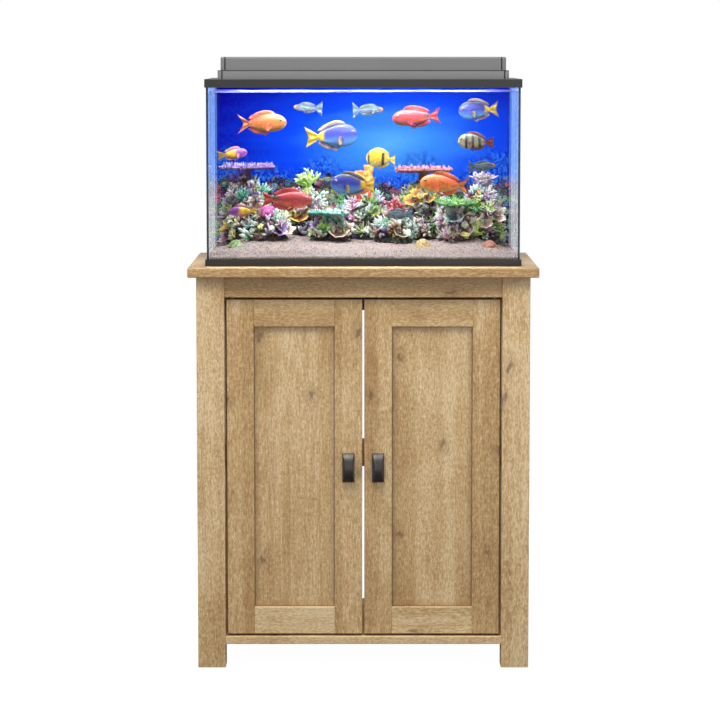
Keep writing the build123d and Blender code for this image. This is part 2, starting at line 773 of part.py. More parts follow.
# Silicone beads in the inner corners
with BuildPart() as silicone_seams:
    block((-water_x, water_x), (-water_y, water_y), (tank_floor, tank_floor + BEAD_LEG))
    with BuildSketch(Plane.XY.offset(tank_floor)):
        Rectangle(2 * (water_x - BEAD_LEG), 2 * (water_y - BEAD_LEG))
    with BuildSketch(Plane.XY.offset(tank_floor + BEAD_LEG)):
        Rectangle(2 * water_x, 2 * water_y)
    loft(mode=Mode.SUBTRACT)
    for side, hand in SIDES:
        for end, place in ENDS:
            with BuildSketch(Plane.XY.offset(tank_floor)):
                with BuildLine():
                    Polyline(
                        (side * water_x, end * water_y),
                        (side * (water_x - BEAD_LEG), end * water_y),
                        (side * water_x, end * (water_y - BEAD_LEG)),
                        close=True,
                    )
                make_face()
            extrude(amount=glass_high - BEAD_STOP - tank_floor)
finish(silicone_seams, "silicone_seams")

# Background sheet on the back of the rear pane
with BuildPart() as background_sheet:
    block(
        (-glass_x + SHEET_MARGIN, glass_x - SHEET_MARGIN),
        (glass_y, glass_y + SHEET_THICKNESS),
        (STAND_HEIGHT + BASE_FRAME_HEIGHT + SHEET_MARGIN, tank_top - TOP_FRAME_HEIGHT - SHEET_MARGIN),
    )
finish(background_sheet, "background_sheet")


def uneven(x, y, half_width, half_depth, points, turn):
    """The corners of a closed uneven outline round a place."""
    wide, small = SWELL_SHARES
    corners = []
    for index in range(points):
        angle = 2 * pi * index / points
        swell = 1 + wide * sin(2 * angle + turn) + small * sin(3 * angle + 2 * turn)
        corners.append((x + half_width * swell * cos(angle), y + half_depth * swell * sin(angle)))
    return corners


def mound(corners, level, height, steps):
    """A lump with a flat top: an outline drawn up in drafted steps."""
    with BuildPart() as piece:
        with BuildSketch(Plane.XY.offset(level)):
            with BuildLine():
                Polyline(*corners, close=True)
            make_face()
        foot = None
        for share, draft in steps:
            extrude(foot, amount=share * height, taper=draft)
            foot = piece.faces().sort_by(Axis.Z)[-1]
    return piece.part


def rock(name):
    """A craggy rock on the tank floor."""
    x, y, half_width, half_depth = ROCK_SHARES[name]
    turn = ROCK_TURN * list(ROCK_SHARES).index(name)
    corners = uneven(x * water_x, y * water_y, half_width * water_x, half_depth * water_y, ROCK_POINTS, turn)
    return mound(corners, tank_floor, ROCK_HEIGHTS[name], ROCK_STEPS)


def brain(x, y, z, radius, height):
    """A rounded brain coral on its seat."""
    return mound(uneven(x, y, radius, radius, BRAIN_POINTS, x), z, height, BRAIN_STEPS)


# Reef rocks on the tank floor
with BuildPart() as reef_rocks:
    for name in ROCK_SHARES:
        add(rock(name))
finish(reef_rocks, "reef_rocks")


def rock_top(name):
    """The middle of a rock's flat top."""
    x, y, half_width, half_depth = ROCK_SHARES[name]
    return x * water_x, y * water_y, tank_floor + ROCK_HEIGHTS[name]


# Brain corals on a rock and on the tank floor
with BuildPart() as brain_corals:
    for name, radius, height in BRAINS_ON_ROCKS:
        add(brain(*rock_top(name), radius, height))
    for (x, y), (radius, height) in zip(BRAIN_FLOOR_SHARES, BRAINS_ON_FLOOR):
        add(brain(x * water_x, y * water_y, tank_floor, radius, height))
finish(brain_corals, "brain_corals")

# Table corals: an uneven flared plate on a stem
with BuildPart() as table_corals:
    for number, (name, height, radius) in enumerate(TABLES):
        x, y, z = rock_top(name)
        plate = z + height - TABLE_PLATE
        rod((x, y, z), (x, y, plate), TABLE_STEM)
        with BuildSketch(Plane.XY.offset(plate)):
            with BuildLine():
                Polyline(*uneven(x, y, radius, radius, TABLE_POINTS, ROCK_TURN * number), close=True)
            make_face()
        extrude(amount=TABLE_PLATE, taper=-TABLE_FLARE)
finish(table_corals, "table_corals")


def twig(start, end, start_radius, end_radius, sides=TWIG_SIDES):
    """A tapered twig with flat sides between two points."""
    line = Vector(*end) - Vector(*start)
    with BuildPart() as piece:
        with BuildSketch(Plane(origin=start, z_dir=line)):
            RegularPolygon(start_radius, sides)
        extrude(amount=line.length, taper=degrees(atan2(start_radius - end_radius, line.length)))
    return piece.part


# Branching corals: a short trunk and a ring of leaning branches round an upright one
with BuildPart() as branch_corals:
    for name, height in BRANCHINGS:
        x, y, z = rock_top(name)
        fork = z + TRUNK_SHARE * height
        add(twig((x, y, z), (x, y, fork), TRUNK_RADIUS, TRUNK_RADIUS / 2))
        add(twig((x, y, z), (x, y, z + height), BRANCH_RADIUS, TIP_RADIUS))
        for number in range(BRANCH_COUNT):
            angle = 2 * pi * number / BRANCH_COUNT
            lean = radians(BRANCH_LEAN * (1 + LEAN_SPREAD * (cos(3 * angle) - 1)))
            reach = height * (1 - TRUNK_SHARE) * (1 + REACH_SPREAD * (sin(2 * angle) - 1))
            root = (x, y, fork - BRANCH_RADIUS)
            tip = (
                x + reach * sin(lean) * cos(angle),
                y + reach * sin(lean) * sin(angle),
                fork + reach * cos(lean),
            )
            add(twig(root, tip, BRANCH_RADIUS, TIP_RADIUS))
finish(branch_corals, "branch_corals")

# Tube sponges: flared tubes with open mouths
with BuildPart() as tube_sponges:
    x, y, z = rock_top(SPONGE_ROCK)
    for number, height in enumerate(SPONGE_HEIGHTS):
        angle = 2 * pi * number / len(SPONGE_HEIGHTS) + pi / 4
        foot = (x + SPONGE_PITCH * cos(angle), y + SPONGE_PITCH * sin(angle), z)
        mouth = (foot[0], foot[1], z + height)
        bore = (foot[0], foot[1], z + height * (1 - SPONGE_BORE_SHARE))
        add(twig(foot, mouth, SPONGE_RADIUS, SPONGE_RADIUS + SPONGE_FLARE, SPONGE_SIDES))
        throat = SPONGE_RADIUS - SPONGE_WALL
        add(twig(bore, mouth, throat, throat + SPONGE_FLARE, SPONGE_SIDES), mode=Mode.SUBTRACT)
finish(tube_sponges, "tube_sponges")

# Gravel bed: a crest line drawn from front to rear, sloped down towards the front pane
gravel_top = tank_floor + max(GRAVEL_CREST)
with BuildPart() as gravel_bed:
    with BuildSketch(Plane(origin=(0, water_y, tank_floor), x_dir=(1, 0, 0), z_dir=(0, -1, 0))):
        pitch = 2 * water_x / (len(GRAVEL_CREST) - 1)
        crest = [(-water_x + number * pitch, height) for number, height in enumerate(GRAVEL_CREST)]
        with BuildLine():
            Polyline(*crest, (water_x, 0), (-water_x, 0), close=True)
        make_face()
    extrude(amount=2 * water_y)
    with BuildSketch(Plane.YZ.offset(-water_x)):
        with BuildLine():
            Polyline(
                (-water_y, tank_floor),
                (-water_y, tank_floor + GRAVEL_FRONT),
                (water_y * (2 * GRAVEL_SLOPE_SHARE - 1), gravel_top),
                (water_y, gravel_top),
                (water_y, tank_floor),
                close=True,
            )
        make_face()
    extrude(amount=2 * water_x, mode=Mode.INTERSECT)
    add(silicone_seams.part, mode=Mode.SUBTRACT)
    add(reef_rocks.part, mode=Mode.SUBTRACT)
    add(brain_corals.part, mode=Mode.SUBTRACT)
finish(gravel_bed, "gravel_bed")

# Hood base: a channel ring round the mouth, with a lip that drops into the tank frame and hinge ears
with BuildPart() as hood_base:
    block((-hood_seam, hood_seam), (hood_front, hood_back), (tank_top, deck_top))
    block(
        (-hood_seam, hood_seam),
        (hood_front + HOOD_WALL, hood_back - HOOD_WALL),
        (tank_top, deck_top - HOOD_DECK),
        Mode.SUBTRACT,
    )
    block((-lip_x, lip_x), (-lip_y, lip_y), (tank_top - LIP_DEPTH, deck_top - HOOD_DECK))
    block(
        (-hood_mouth_x, hood_mouth_x),
        (-hood_mouth_y, hood_mouth_y),
        (tank_top - LIP_DEPTH, deck_top),
        Mode.SUBTRACT,
    )
    for side, hand in SIDES:
        for way in (-1, 1):
            near = side * HINGE_X + way * (KNUCKLE_LENGTH / 2 + AXIAL)
            far = near + way * EAR_LENGTH
            rod((near, hinge_y, hinge_z), (far, hinge_y, hinge_z), EAR_RADIUS)
            block((near, far), (hinge_y - EAR_RADIUS, hinge_y + EAR_RADIUS), (deck_top, hinge_z))
            rod((near, hinge_y, hinge_z), (far, hinge_y, hinge_z), HINGE_PIN_RADIUS + PRESSED, Mode.SUBTRACT)
finish(hood_base, "hood_base")

# End caps of the hood base, each with a sunk neck that shows as a dark seam
with BuildPart() as hood_base_end_caps:
    for side, hand in SIDES:
        block(
            (side * (hood_seam + SEAM_WIDTH), side * hood_end), (hood_front, hood_back), (tank_top, deck_top)
        )
    fillet(hood_base_end_caps.edges().filter_by(Axis.Z).group_by(Axis.X)[0], CAP_ROUND)
    fillet(hood_base_end_caps.edges().filter_by(Axis.Z).group_by(Axis.X)[-1], CAP_ROUND)
    for side, hand in SIDES:
        block(
            (side * hood_seam, side * (hood_seam + SEAM_WIDTH)),
            (hood_front + SEAM_DEPTH, hood_back - SEAM_DEPTH),
            (tank_top, deck_top - SEAM_DEPTH),
        )
finish(hood_base_end_caps, "hood_base_end_caps")

# Lid: an extruded shell with a ledge and rib for the lens, two rails for the lamp board and hinge knuckles
lid_outline = (
    (lid_front, lid_low),
    (lid_back, lid_low),
    (lid_back, lid_high),
    (lid_front + LID_DRAFT, lid_high),
)
board_edge = BOARD_WIDTH / 2 + SLIDING
with BuildPart() as hood_lid:
    with BuildSketch(Plane.YZ.offset(-lid_seam)) as lid_section:
        with BuildLine():
            Polyline(*lid_outline, close=True)
        make_face()
        fillet(lid_section.vertices().group_by(Axis.Y)[-1], LID_ROUND)
        with BuildLine():
            Polyline(
                (lid_front + HOOD_WALL, lid_low),
                (lid_back - HOOD_WALL, lid_low),
                (lid_back - HOOD_WALL, lid_roof),
                (lid_front + HOOD_WALL + LID_DRAFT, lid_roof),
                close=True,
            )
        make_face(mode=Mode.SUBTRACT)
        for level in (lid_low, rib_low):
            for edge in (lid_front, lid_back):
                inward = 1 if edge == lid_front else -1
                with Locations((edge + inward * (HOOD_WALL + LID_LEDGE) / 2, level + LID_RIB / 2)):
                    Rectangle(HOOD_WALL + LID_LEDGE - LID_DRAFT, LID_RIB)
        for way in (-1, 1):
            with Locations((lid_middle + way * (board_edge + LID_RIB / 2), (foot_low + lid_roof) / 2)):
                Rectangle(LID_RIB, lid_roof - foot_low)
            with Locations((lid_middle + way * (board_edge - BOARD_FOOT / 2), (foot_low + foot_high) / 2)):
                Rectangle(BOARD_FOOT, foot_high - foot_low)
    extrude(amount=2 * lid_seam)
    block(
        (SWITCH_X - cavity_x - SWITCH_WALL - SLIDING, SWITCH_X + cavity_x + SWITCH_WALL + SLIDING),
        (lid_back - HOOD_WALL, lid_back),
        (panel_z - cavity_z - SWITCH_WALL - SLIDING, panel_z + cavity_z + SWITCH_WALL + SLIDING),
        Mode.SUBTRACT,
    )
    rod(
        (INLET_X, lid_back, panel_z),
        (INLET_X, lid_back - HOOD_WALL, panel_z),
        INLET_RADIUS + SLIDING,
        Mode.SUBTRACT,
    )
    for side, hand in SIDES:
        near = side * HINGE_X - KNUCKLE_LENGTH / 2
        far = side * HINGE_X + KNUCKLE_LENGTH / 2
        rod((near, hinge_y, hinge_z), (far, hinge_y, hinge_z), KNUCKLE_RADIUS)
        block((near, far), (lid_back - HOOD_WALL, hinge_y), (hinge_z, hinge_z + KNUCKLE_RADIUS))
        rod((near, hinge_y, hinge_z), (far, hinge_y, hinge_z), HINGE_PIN_RADIUS + RUNNING, Mode.SUBTRACT)
finish(hood_lid, "hood_lid")

# End caps of the lid: the same outline, a sunk neck for the seam and a plug inside the shell
with BuildPart() as hood_lid_end_caps:
    for side, hand in SIDES:
        with BuildSketch(Plane.YZ.offset(side * (lid_seam + SEAM_WIDTH))) as cap_section:
            with BuildLine():
                Polyline(*lid_outline, close=True)
            make_face()
            fillet(cap_section.vertices().group_by(Axis.Y)[-1], LID_ROUND)
        extrude(amount=side * (CAP_LENGTH - SEAM_WIDTH))
    fillet(hood_lid_end_caps.edges().filter_by(Axis.Z).group_by(Axis.X)[0], CAP_ROUND)
    fillet(hood_lid_end_caps.edges().filter_by(Axis.Z).group_by(Axis.X)[-1], CAP_ROUND)
    for side, hand in SIDES:
        block(
            (side * lid_seam, side * (lid_seam + SEAM_WIDTH)),
            (lid_front + LID_DRAFT + SEAM_DEPTH, lid_back - SEAM_DEPTH),
            (lid_low + SEAM_DEPTH, lid_high - SEAM_DEPTH),
        )
        block(
            (side * (lid_seam - PLUG_LENGTH), side * lid_seam),
            (lid_front + HOOD_WALL + LID_DRAFT + PLUG_GAP, lid_back - HOOD_WALL - PLUG_GAP),
            (rib_low + LID_RIB + PLUG_GAP, foot_low - PLUG_GAP),
        )
finish(hood_lid_end_caps, "hood_lid_end_caps")

# Hinge pins of the lid
with BuildPart() as hood_hinge_pins:
    for side, hand in SIDES:
        half = KNUCKLE_LENGTH / 2 + AXIAL + EAR_LENGTH
        rod(
            (side * HINGE_X - half, hinge_y, hinge_z),
            (side * HINGE_X + half, hinge_y, hinge_z),
            HINGE_PIN_RADIUS,
        )
finish(hood_hinge_pins, "hood_hinge_pins")

# Lamp board with two rows of light chips on its underside
with BuildPart() as led_board:
    block(
        (-insert_end, insert_end),
        (lid_middle - BOARD_WIDTH / 2, lid_middle + BOARD_WIDTH / 2),
        (board_low, board_high),
    )
    with Locations((0, lid_middle, board_low - CHIP_HEIGHT / 2)):
        with GridLocations(chip_pitch, CHIP_ROW_PITCH, CHIP_COLUMNS, 2):
            Box(CHIP_SIZE, CHIP_SIZE, CHIP_HEIGHT)
finish(led_board, "led_board")

# Clear lens plate that slides in above the lid's ledge
with BuildPart() as led_lens:
    block(
        (-insert_end, insert_end),
        (lid_front + HOOD_WALL + LID_DRAFT, lid_back - HOOD_WALL - SLIDING),
        (lens_low, lens_high),
    )
finish(led_lens, "led_lens")

# Switch housing: a flanged box through the lid's rear wall, with bearing holes for the rocker
with BuildPart() as switch_housing:
    block(
        (SWITCH_X - cavity_x - SWITCH_WALL, SWITCH_X + cavity_x + SWITCH_WALL),
        (lid_back - SWITCH_DEPTH, lid_back),
        (panel_z - cavity_z - SWITCH_WALL, panel_z + cavity_z + SWITCH_WALL),
    )
    block(
        (SWITCH_X - cavity_x - SWITCH_WALL - BEZEL_WIDTH, SWITCH_X + cavity_x + SWITCH_WALL + BEZEL_WIDTH),
        (lid_back, lid_back + BEZEL_THICKNESS),
        (panel_z - cavity_z - SWITCH_WALL - BEZEL_WIDTH, panel_z + cavity_z + SWITCH_WALL + BEZEL_WIDTH),
    )
    block(
        (SWITCH_X - cavity_x, SWITCH_X + cavity_x),
        (lid_back - SWITCH_DEPTH + SWITCH_WALL, lid_back + BEZEL_THICKNESS),
        (panel_z - cavity_z, panel_z + cavity_z),
        Mode.SUBTRACT,
    )
    rod(
        (SWITCH_X, rocker_y, panel_z - cavity_z - SWITCH_WALL),
        (SWITCH_X, rocker_y, panel_z + cavity_z + SWITCH_WALL),
        TRUNNION_RADIUS + RUNNING,
        Mode.SUBTRACT,
    )
finish(switch_housing, "switch_housing")

# Rocker with a dished face, tilted to its on side
tilt = radians(ROCKER_TILT)
with BuildPart() as light_switch:
    with BuildSketch(
        Plane(
            origin=(SWITCH_X, rocker_y, panel_z - ROCKER_HEIGHT / 2),
            x_dir=(cos(tilt), sin(tilt), 0),
            z_dir=(0, 0, 1),
        )
    ):
        with BuildLine():
            Polyline(
                (-ROCKER_WIDTH / 2, -ROCKER_ROOT),
                (ROCKER_WIDTH / 2, -ROCKER_ROOT),
                (ROCKER_WIDTH / 2, ROCKER_REACH),
                (0, ROCKER_REACH - ROCKER_DISH),
                (-ROCKER_WIDTH / 2, ROCKER_REACH),
                close=True,
            )
        make_face()
    extrude(amount=ROCKER_HEIGHT)
    rod(
        (SWITCH_X, rocker_y, panel_z - cavity_z - SWITCH_WALL + SLIDING),
        (SWITCH_X, rocker_y, panel_z + cavity_z + SWITCH_WALL - SLIDING),
        TRUNNION_RADIUS,
    )
finish(light_switch, "light_switch")

# Power inlet: a flanged round socket with a centre contact
with BuildPart() as power_inlet:
    rod((INLET_X, lid_back + INLET_FLANGE, panel_z), (INLET_X, lid_back, panel_z), INLET_FLANGE_RADIUS)
    rod((INLET_X, lid_back, panel_z), (INLET_X, lid_back - INLET_DEPTH, panel_z), INLET_RADIUS)
    rod(
        (INLET_X, lid_back + INLET_FLANGE, panel_z),
        (INLET_X, lid_back + INLET_FLANGE - SOCKET_DEPTH, panel_z),
        SOCKET_RADIUS,
        Mode.SUBTRACT,
    )
    rod(
        (INLET_X, lid_back + INLET_FLANGE - SOCKET_DEPTH, panel_z),
        (INLET_X, lid_back + INLET_FLANGE - SOCKET_DEPTH + CONTACT_LENGTH, panel_z),
        CONTACT_RADIUS,
    )
finish(power_inlet, "power_inlet")
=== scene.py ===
from functools import cached_property
from math import cos, pi, radians, sin

import bmesh
import bpy
import numpy as np
from mathutils import Matrix, Vector, noise


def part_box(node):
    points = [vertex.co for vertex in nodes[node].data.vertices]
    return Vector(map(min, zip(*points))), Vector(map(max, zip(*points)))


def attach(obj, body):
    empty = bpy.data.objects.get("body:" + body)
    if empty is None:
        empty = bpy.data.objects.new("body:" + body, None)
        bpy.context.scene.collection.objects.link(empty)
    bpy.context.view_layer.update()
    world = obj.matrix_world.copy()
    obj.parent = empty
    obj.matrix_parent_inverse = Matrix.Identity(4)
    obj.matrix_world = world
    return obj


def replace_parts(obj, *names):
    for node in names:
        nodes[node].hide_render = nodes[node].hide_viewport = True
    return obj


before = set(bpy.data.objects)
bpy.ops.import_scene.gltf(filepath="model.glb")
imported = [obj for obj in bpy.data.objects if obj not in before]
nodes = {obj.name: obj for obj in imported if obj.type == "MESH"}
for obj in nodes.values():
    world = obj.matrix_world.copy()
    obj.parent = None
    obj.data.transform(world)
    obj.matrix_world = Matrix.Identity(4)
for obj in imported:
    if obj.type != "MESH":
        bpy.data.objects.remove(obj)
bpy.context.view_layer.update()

# Lengths are in metres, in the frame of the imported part: +Z is up and the front faces -Y.

# Camera: its place, how far it looks down in degrees, its lens and sensor in millimetres, its shift and reach
CAMERA_PLACE = (-0.0064, -5.2, 1.199)
CAMERA_PITCH = 5.42
CAMERA_LENS = 130
CAMERA_SENSOR = 36
CAMERA_SHIFT = -0.08
CAMERA_REACH = 100

# Studio: the floor, the surround, a key and a fill light
FLOOR_SIZE = 5
FLOOR_FADE = (1.0, 2.3)
FLOOR_GLOW = 0.97
AMBIENT = 0.5
SOFT_SIZE = (1.6, 1.6)
KEY_PLACE = (-0.4, -1.5, 3.6)
KEY_AIM = (0, 0, 0.55)
KEY_POWER = 75
FILL_PLACE = (0.7, -2.8, 0.45)
FILL_AIM = (0, 0, 0.35)
FILL_POWER = 8

# Lamp in the lid: a light over the lens, one along its front row, its spill on the stand, and its chips
LAMP_POWER = 3.3
LAMP_COLOUR = (0.98, 0.98, 1.0)
LAMP_SHARE = (0.96, 0.85)
LAMP_DROP = 0.004
REEF_LIGHT_POWER = 4.8
REEF_LIGHT_AIM = (0, 0.02, 0.86)
REEF_LIGHT_INSET = 0.02
REEF_LIGHT_DEPTH = 0.03
SPILL_PLACE = (0, -0.184, 0.815)
SPILL_AIM = (0, -0.184, 0)
SPILL_SIZE = (0.60, 0.012)
SPILL_SPREAD = 50
SPILL_POWER = 0.22
SPILL_COLOUR = (0.84, 0.92, 1.0)
CHIP_PITCH = 0.0435
CHIP_ROW = 0.012

# Stand: how boards lie, as the part's axes along their width, thickness and length
LIES = {"front": "xyz", "side": "yxz", "level": "zyx", "flat": "yzx"}
HANDS = ("left", "right")

# Stand: a length past the doors' open sides, and the seeds of the first board's and panel's figure
DOOR_REACH = 1.0
FIRST_BOARD = 3.1
FIRST_PANEL = 31.4

# Stand: how much paler each kind of board is, in part its own tone and in part painted light and shade (the
# apron and the top board darker, the bottom boards paler), the painted shade on the top board's upward faces,
# its gloss, the depth of the painted shadow under the top's overhang, and the boards inside
LIFTS = {"leg": 0.09, "stile": -0.03, "rail": 0.01, "apron": -0.06, "board": -0.09}
BOTTOM_PAINTED_LIGHT = 0.13
PANEL_LIFT = 0.03
UPWARD_SHADE = 0.68
BOARD_GLOSS = 0.5
OVERHANG_SHADE_DEPTHS = {"leg": 0.030, "stile": 0.022, "rail": 0.022, "apron": 0.040}
INNER_BOARDS = ("bottom_panel", "middle_shelf", "rear_stretcher")

# Oak figure: how fine each layer is across and along a board, then its detail, roughness and distortion
OAK_FIGURE = {
    "knot_edge": (130, 60, 3.0),
    "flow": (12, 0.8, 3.0, 0.5, 0.3),
    "streak": (9, 0.6, 3.0, 0.6),
    "patch": (5, 2.4),
    "lath": (19, 0.28, 2.0, 0.4),
    "flecks": (360, 120, 3.0, 0.8),
    "fibre": (560, 34, 3.0, 0.7),
    "pores": (800, 60),
    "saw": (60, 210, 1.0),
    "sawn": (12, 7),
    "curl": (16, 1.6, 3.0, 0.55, 0.5),
    "curled": (7, 1.5),
    "rays": (420, 95),
    "warm": (17, 2.2, 3.0, 0.6, 0.3),
}

# Oak tone: how much each layer adds to it, the level taken off, and its colours from dark to pale
OAK_TONE = {
    "streak": 0.26,
    "patch": 0.14,
    "lath": 0.085,
    "rings": 0.022,
    "curl": 0.045,
    "flecks": 1.1,
    "fibre": 0.50,
    "ripple": -0.16,
}
OAK_LEVEL = 0.462
OAK_RAMP = ((0.26, (166, 126, 79)), (0.43, (193, 155, 103)), (0.58, (215, 180, 127)), (0.80, (246, 220, 176)))
# Tint of the painted shade on the boards
PAINTED_SHADE_TINT = (112, 92, 74)

# Hood: how far the painted shadow at the seams reaches past the shells' ends, how deep the painted shadow
# band under the lid is, and how soft their edges are
SEAM_SHADOW = 0.0028
RIM_SHADOW_DEPTH = 0.0012
SHARP = 0.0001

# Film behind the tank: the place and reach of its light, across and up, and the heights of its two reefs
FILM_LIGHT = (0.055, 0.215)
FILM_REACH = (0.34, 0.15)
FILM_SHIFT = (3.7, 0.4, 1.9)
FAR_REEF = 0.175
NEAR_REEF = 0.135

# Water, and the gap that the tank's contents keep from the panes
WATER_LEVEL = 1.129
WATER_THICKNESS = 0.001
WAVE_HEIGHT = 0.000405
WATER_COLUMNS = 150
WATER_ROWS = 74
PANE_GAP = 0.0006

# Gravel: heights along its crest from left to right and up its slope from the front, and its loose grains
CREST = np.array((14, 44, 35, 28, 27, 37, 13)) / 1000
SLOPE = (0.009, 0.044)
SLOPE_TOP = 0.12
BANK_SOFT = 260
GRAVEL_COLUMNS = 260
GRAVEL_ROWS = 130
PEBBLES = 5600
PEBBLE_RADIUS = (0.0008, 0.0018)
PEBBLE_MARGIN = 0.002

# Reef: the fineness of its skins, how craggy the rocks are, and how many growths there are and where
ROCK_VOXEL = 0.0038
ROCK_CRAG = 0.0075
CORAL_VOXEL = 0.0019
GROWTH_COUNT = 400
GROWTH_APART = 0.0100
GROWTH_LIFT = 0.006
GROWTH_MARGIN = 0.022
GROWTH_ROOT = 0.002
UPWARD = 0.7
PALEST = 0.95
POLYPS = 26
TABLE_RIM = 0.80
TUFTS = 420
TUFT_LENGTH = (0.003, 0.008)
TUFT_RADIUS = 0.0011
LIMBS = 13
GOLDEN_TURN = 2.4

# Fish: shares of their length, the fineness of their meshes, and how their tints deepen, darker near the lamp
# as painted shade against its light
BODY_LENGTH = 0.78
BODY_CURVE = (0.66, 0.78, 0.040)
WIDTH_CURVE = (0.55, 0.85, 0.012)
EYE_PLACE = 0.135
EYE_RADIUS = 0.030
EYE_FLAT = 0.8
FIN_THICKNESS = 0.008
FISH_ROWS = 46
FISH_SIDES = 26
FIN_ROWS = 6
FIN_COLUMNS = 25
NEAR_LAMP = (0.95, 1.09)
LAMP_SHADE = (0.95, 0.55)
DEEPEN = 1.2

# The shoal: kind, place, length, heading from +X towards +Y in degrees, nose up in degrees
SHOAL = (
    ("orange", (-0.200, -0.050, 1.066), 0.098, -8, 2),
    ("red", (0.105, -0.050, 1.078), 0.096, 186, -4),
    ("reef_blue", (-0.062, -0.030, 1.040), 0.104, 8, 3),
    ("reef_blue", (0.232, 0.050, 1.090), 0.082, 188, -3),
    ("banded", (0.222, -0.060, 1.030), 0.070, 176, 3),
    ("yellow", (0.035, -0.055, 0.996), 0.062, 160, 4),
    ("orange", (0.160, -0.112, 0.948), 0.098, 174, 4),
    ("silver", (0.010, 0.070, 1.090), 0.062, 5, 2),
    ("silver", (-0.112, 0.075, 1.094), 0.058, 190, 4),
    ("red", (-0.150, -0.113, 0.918), 0.098, 6, -2),
    ("reef_blue", (-0.020, -0.113, 0.948), 0.088, 186, 3),
    ("two_tone", (-0.258, -0.060, 1.006), 0.060, 15, 6),
    ("two_tone", (-0.236, -0.116, 0.896), 0.056, 172, -4),
    ("silver", (0.232, -0.114, 0.984), 0.054, 12, 3),
    ("silver", (0.068, -0.116, 0.890), 0.056, 184, -2),
)

# Seals: half width and half thickness of the panes' joints and of the lid's cushion, and how they run
SEAL_HALF = (0.0022, 0.0004)
SEAL_ROWS = 40
SEAL_TUCK = 0.004
CUSHION_HALF = (0.0011, 0.00012)
CUSHION_INSET = 0.0020
CUSHION_REAR = 0.10
CUSHION_CORNER = 0.003

SEED = 11
rng = np.random.default_rng(SEED)


def srgb(red, green, blue):
    """A colour given as screen values from 0 to 255, in linear light."""
    shares = (red / 255, green / 255, blue / 255)
    return tuple(v / 12.92 if v < 11 / 255 else ((v + 0.055) / 1.055) ** 2.4 for v in shares)


# Tints of the frames, the hood, the reef and the fish
FRAME_GREY = srgb(31, 31, 30)
FOOT_GREY = srgb(21, 20, 17)
HOOD_GREY = srgb(122, 122, 122)
BASE_GREY = srgb(138, 138, 138)
PINK = srgb(232, 92, 158)
ROSE = srgb(246, 170, 186)
PURPLE = srgb(112, 62, 152)
LILAC = srgb(214, 190, 238)
ORANGE = srgb(242, 132, 56)
CORAL_RED = srgb(216, 72, 60)
YELLOW = srgb(244, 216, 92)
LIME = srgb(172, 222, 84)
LEAF = srgb(66, 150, 84)
TEAL = srgb(56, 166, 150)
MINT = srgb(156, 228, 184)
CREAM = srgb(252, 240, 206)
RUST = srgb(150, 84, 58)
OLIVE = srgb(150, 176, 96)
STRAW = srgb(206, 178, 96)
CLAY = srgb(200, 120, 84)
NIGHT = srgb(14, 12, 22)
GOLD = srgb(255, 206, 50)
PUPIL = (0.02, 0.02, 0.03)
IRIS = srgb(240, 214, 120)
EYE_RIM = srgb(60, 44, 40)
BRANCH_TINTS = ((LIME, CREAM), (CORAL_RED, ROSE), (LILAC, CREAM))
BRAIN_TINTS = ((OLIVE, NIGHT), (PINK, PURPLE), (STRAW, RUST), (CLAY, RUST))
TABLE_TINTS = ((PURPLE, LILAC), (TEAL, CREAM), (RUST, ROSE), (LEAF, LIME))
PEBBLE_TINTS = np.array([
    srgb(156, 135, 125), srgb(146, 123, 112), srgb(188, 174, 162), srgb(136, 114, 108),
    srgb(108, 88, 82), srgb(146, 134, 158), srgb(92, 78, 80), srgb(182, 148, 108), srgb(174, 126, 114),
])

# Patches of colour on the rocks: tint, size, seed and level
ROCK_PATCHES = (
    (PURPLE, 0.013, 2.9, 0.12),
    (PINK, 0.016, 9.2, 0.20),
    (MINT, 0.014, 12.4, 0.18),
    (LIME, 0.012, 15.1, 0.26),
    (ROSE, 0.010, 18.8, 0.24),
)


class Field:
    """The value of a shader socket, where arithmetic adds math nodes."""

    def __init__(self, shader, socket):
        self.shader = shader
        self.socket = socket

    def __add__(self, other):
        return self.shader.math("ADD", self, other)

    def __sub__(self, other):
        return self.shader.math("SUBTRACT", self, other)

    def __rsub__(self, other):
        return self.shader.math("SUBTRACT", other, self)

    def __mul__(self, other):
        return self.shader.math("MULTIPLY", self, other)

    def __truediv__(self, other):
        return self.shader.math("DIVIDE", self, other)

    __radd__ = __add__
    __rmul__ = __mul__


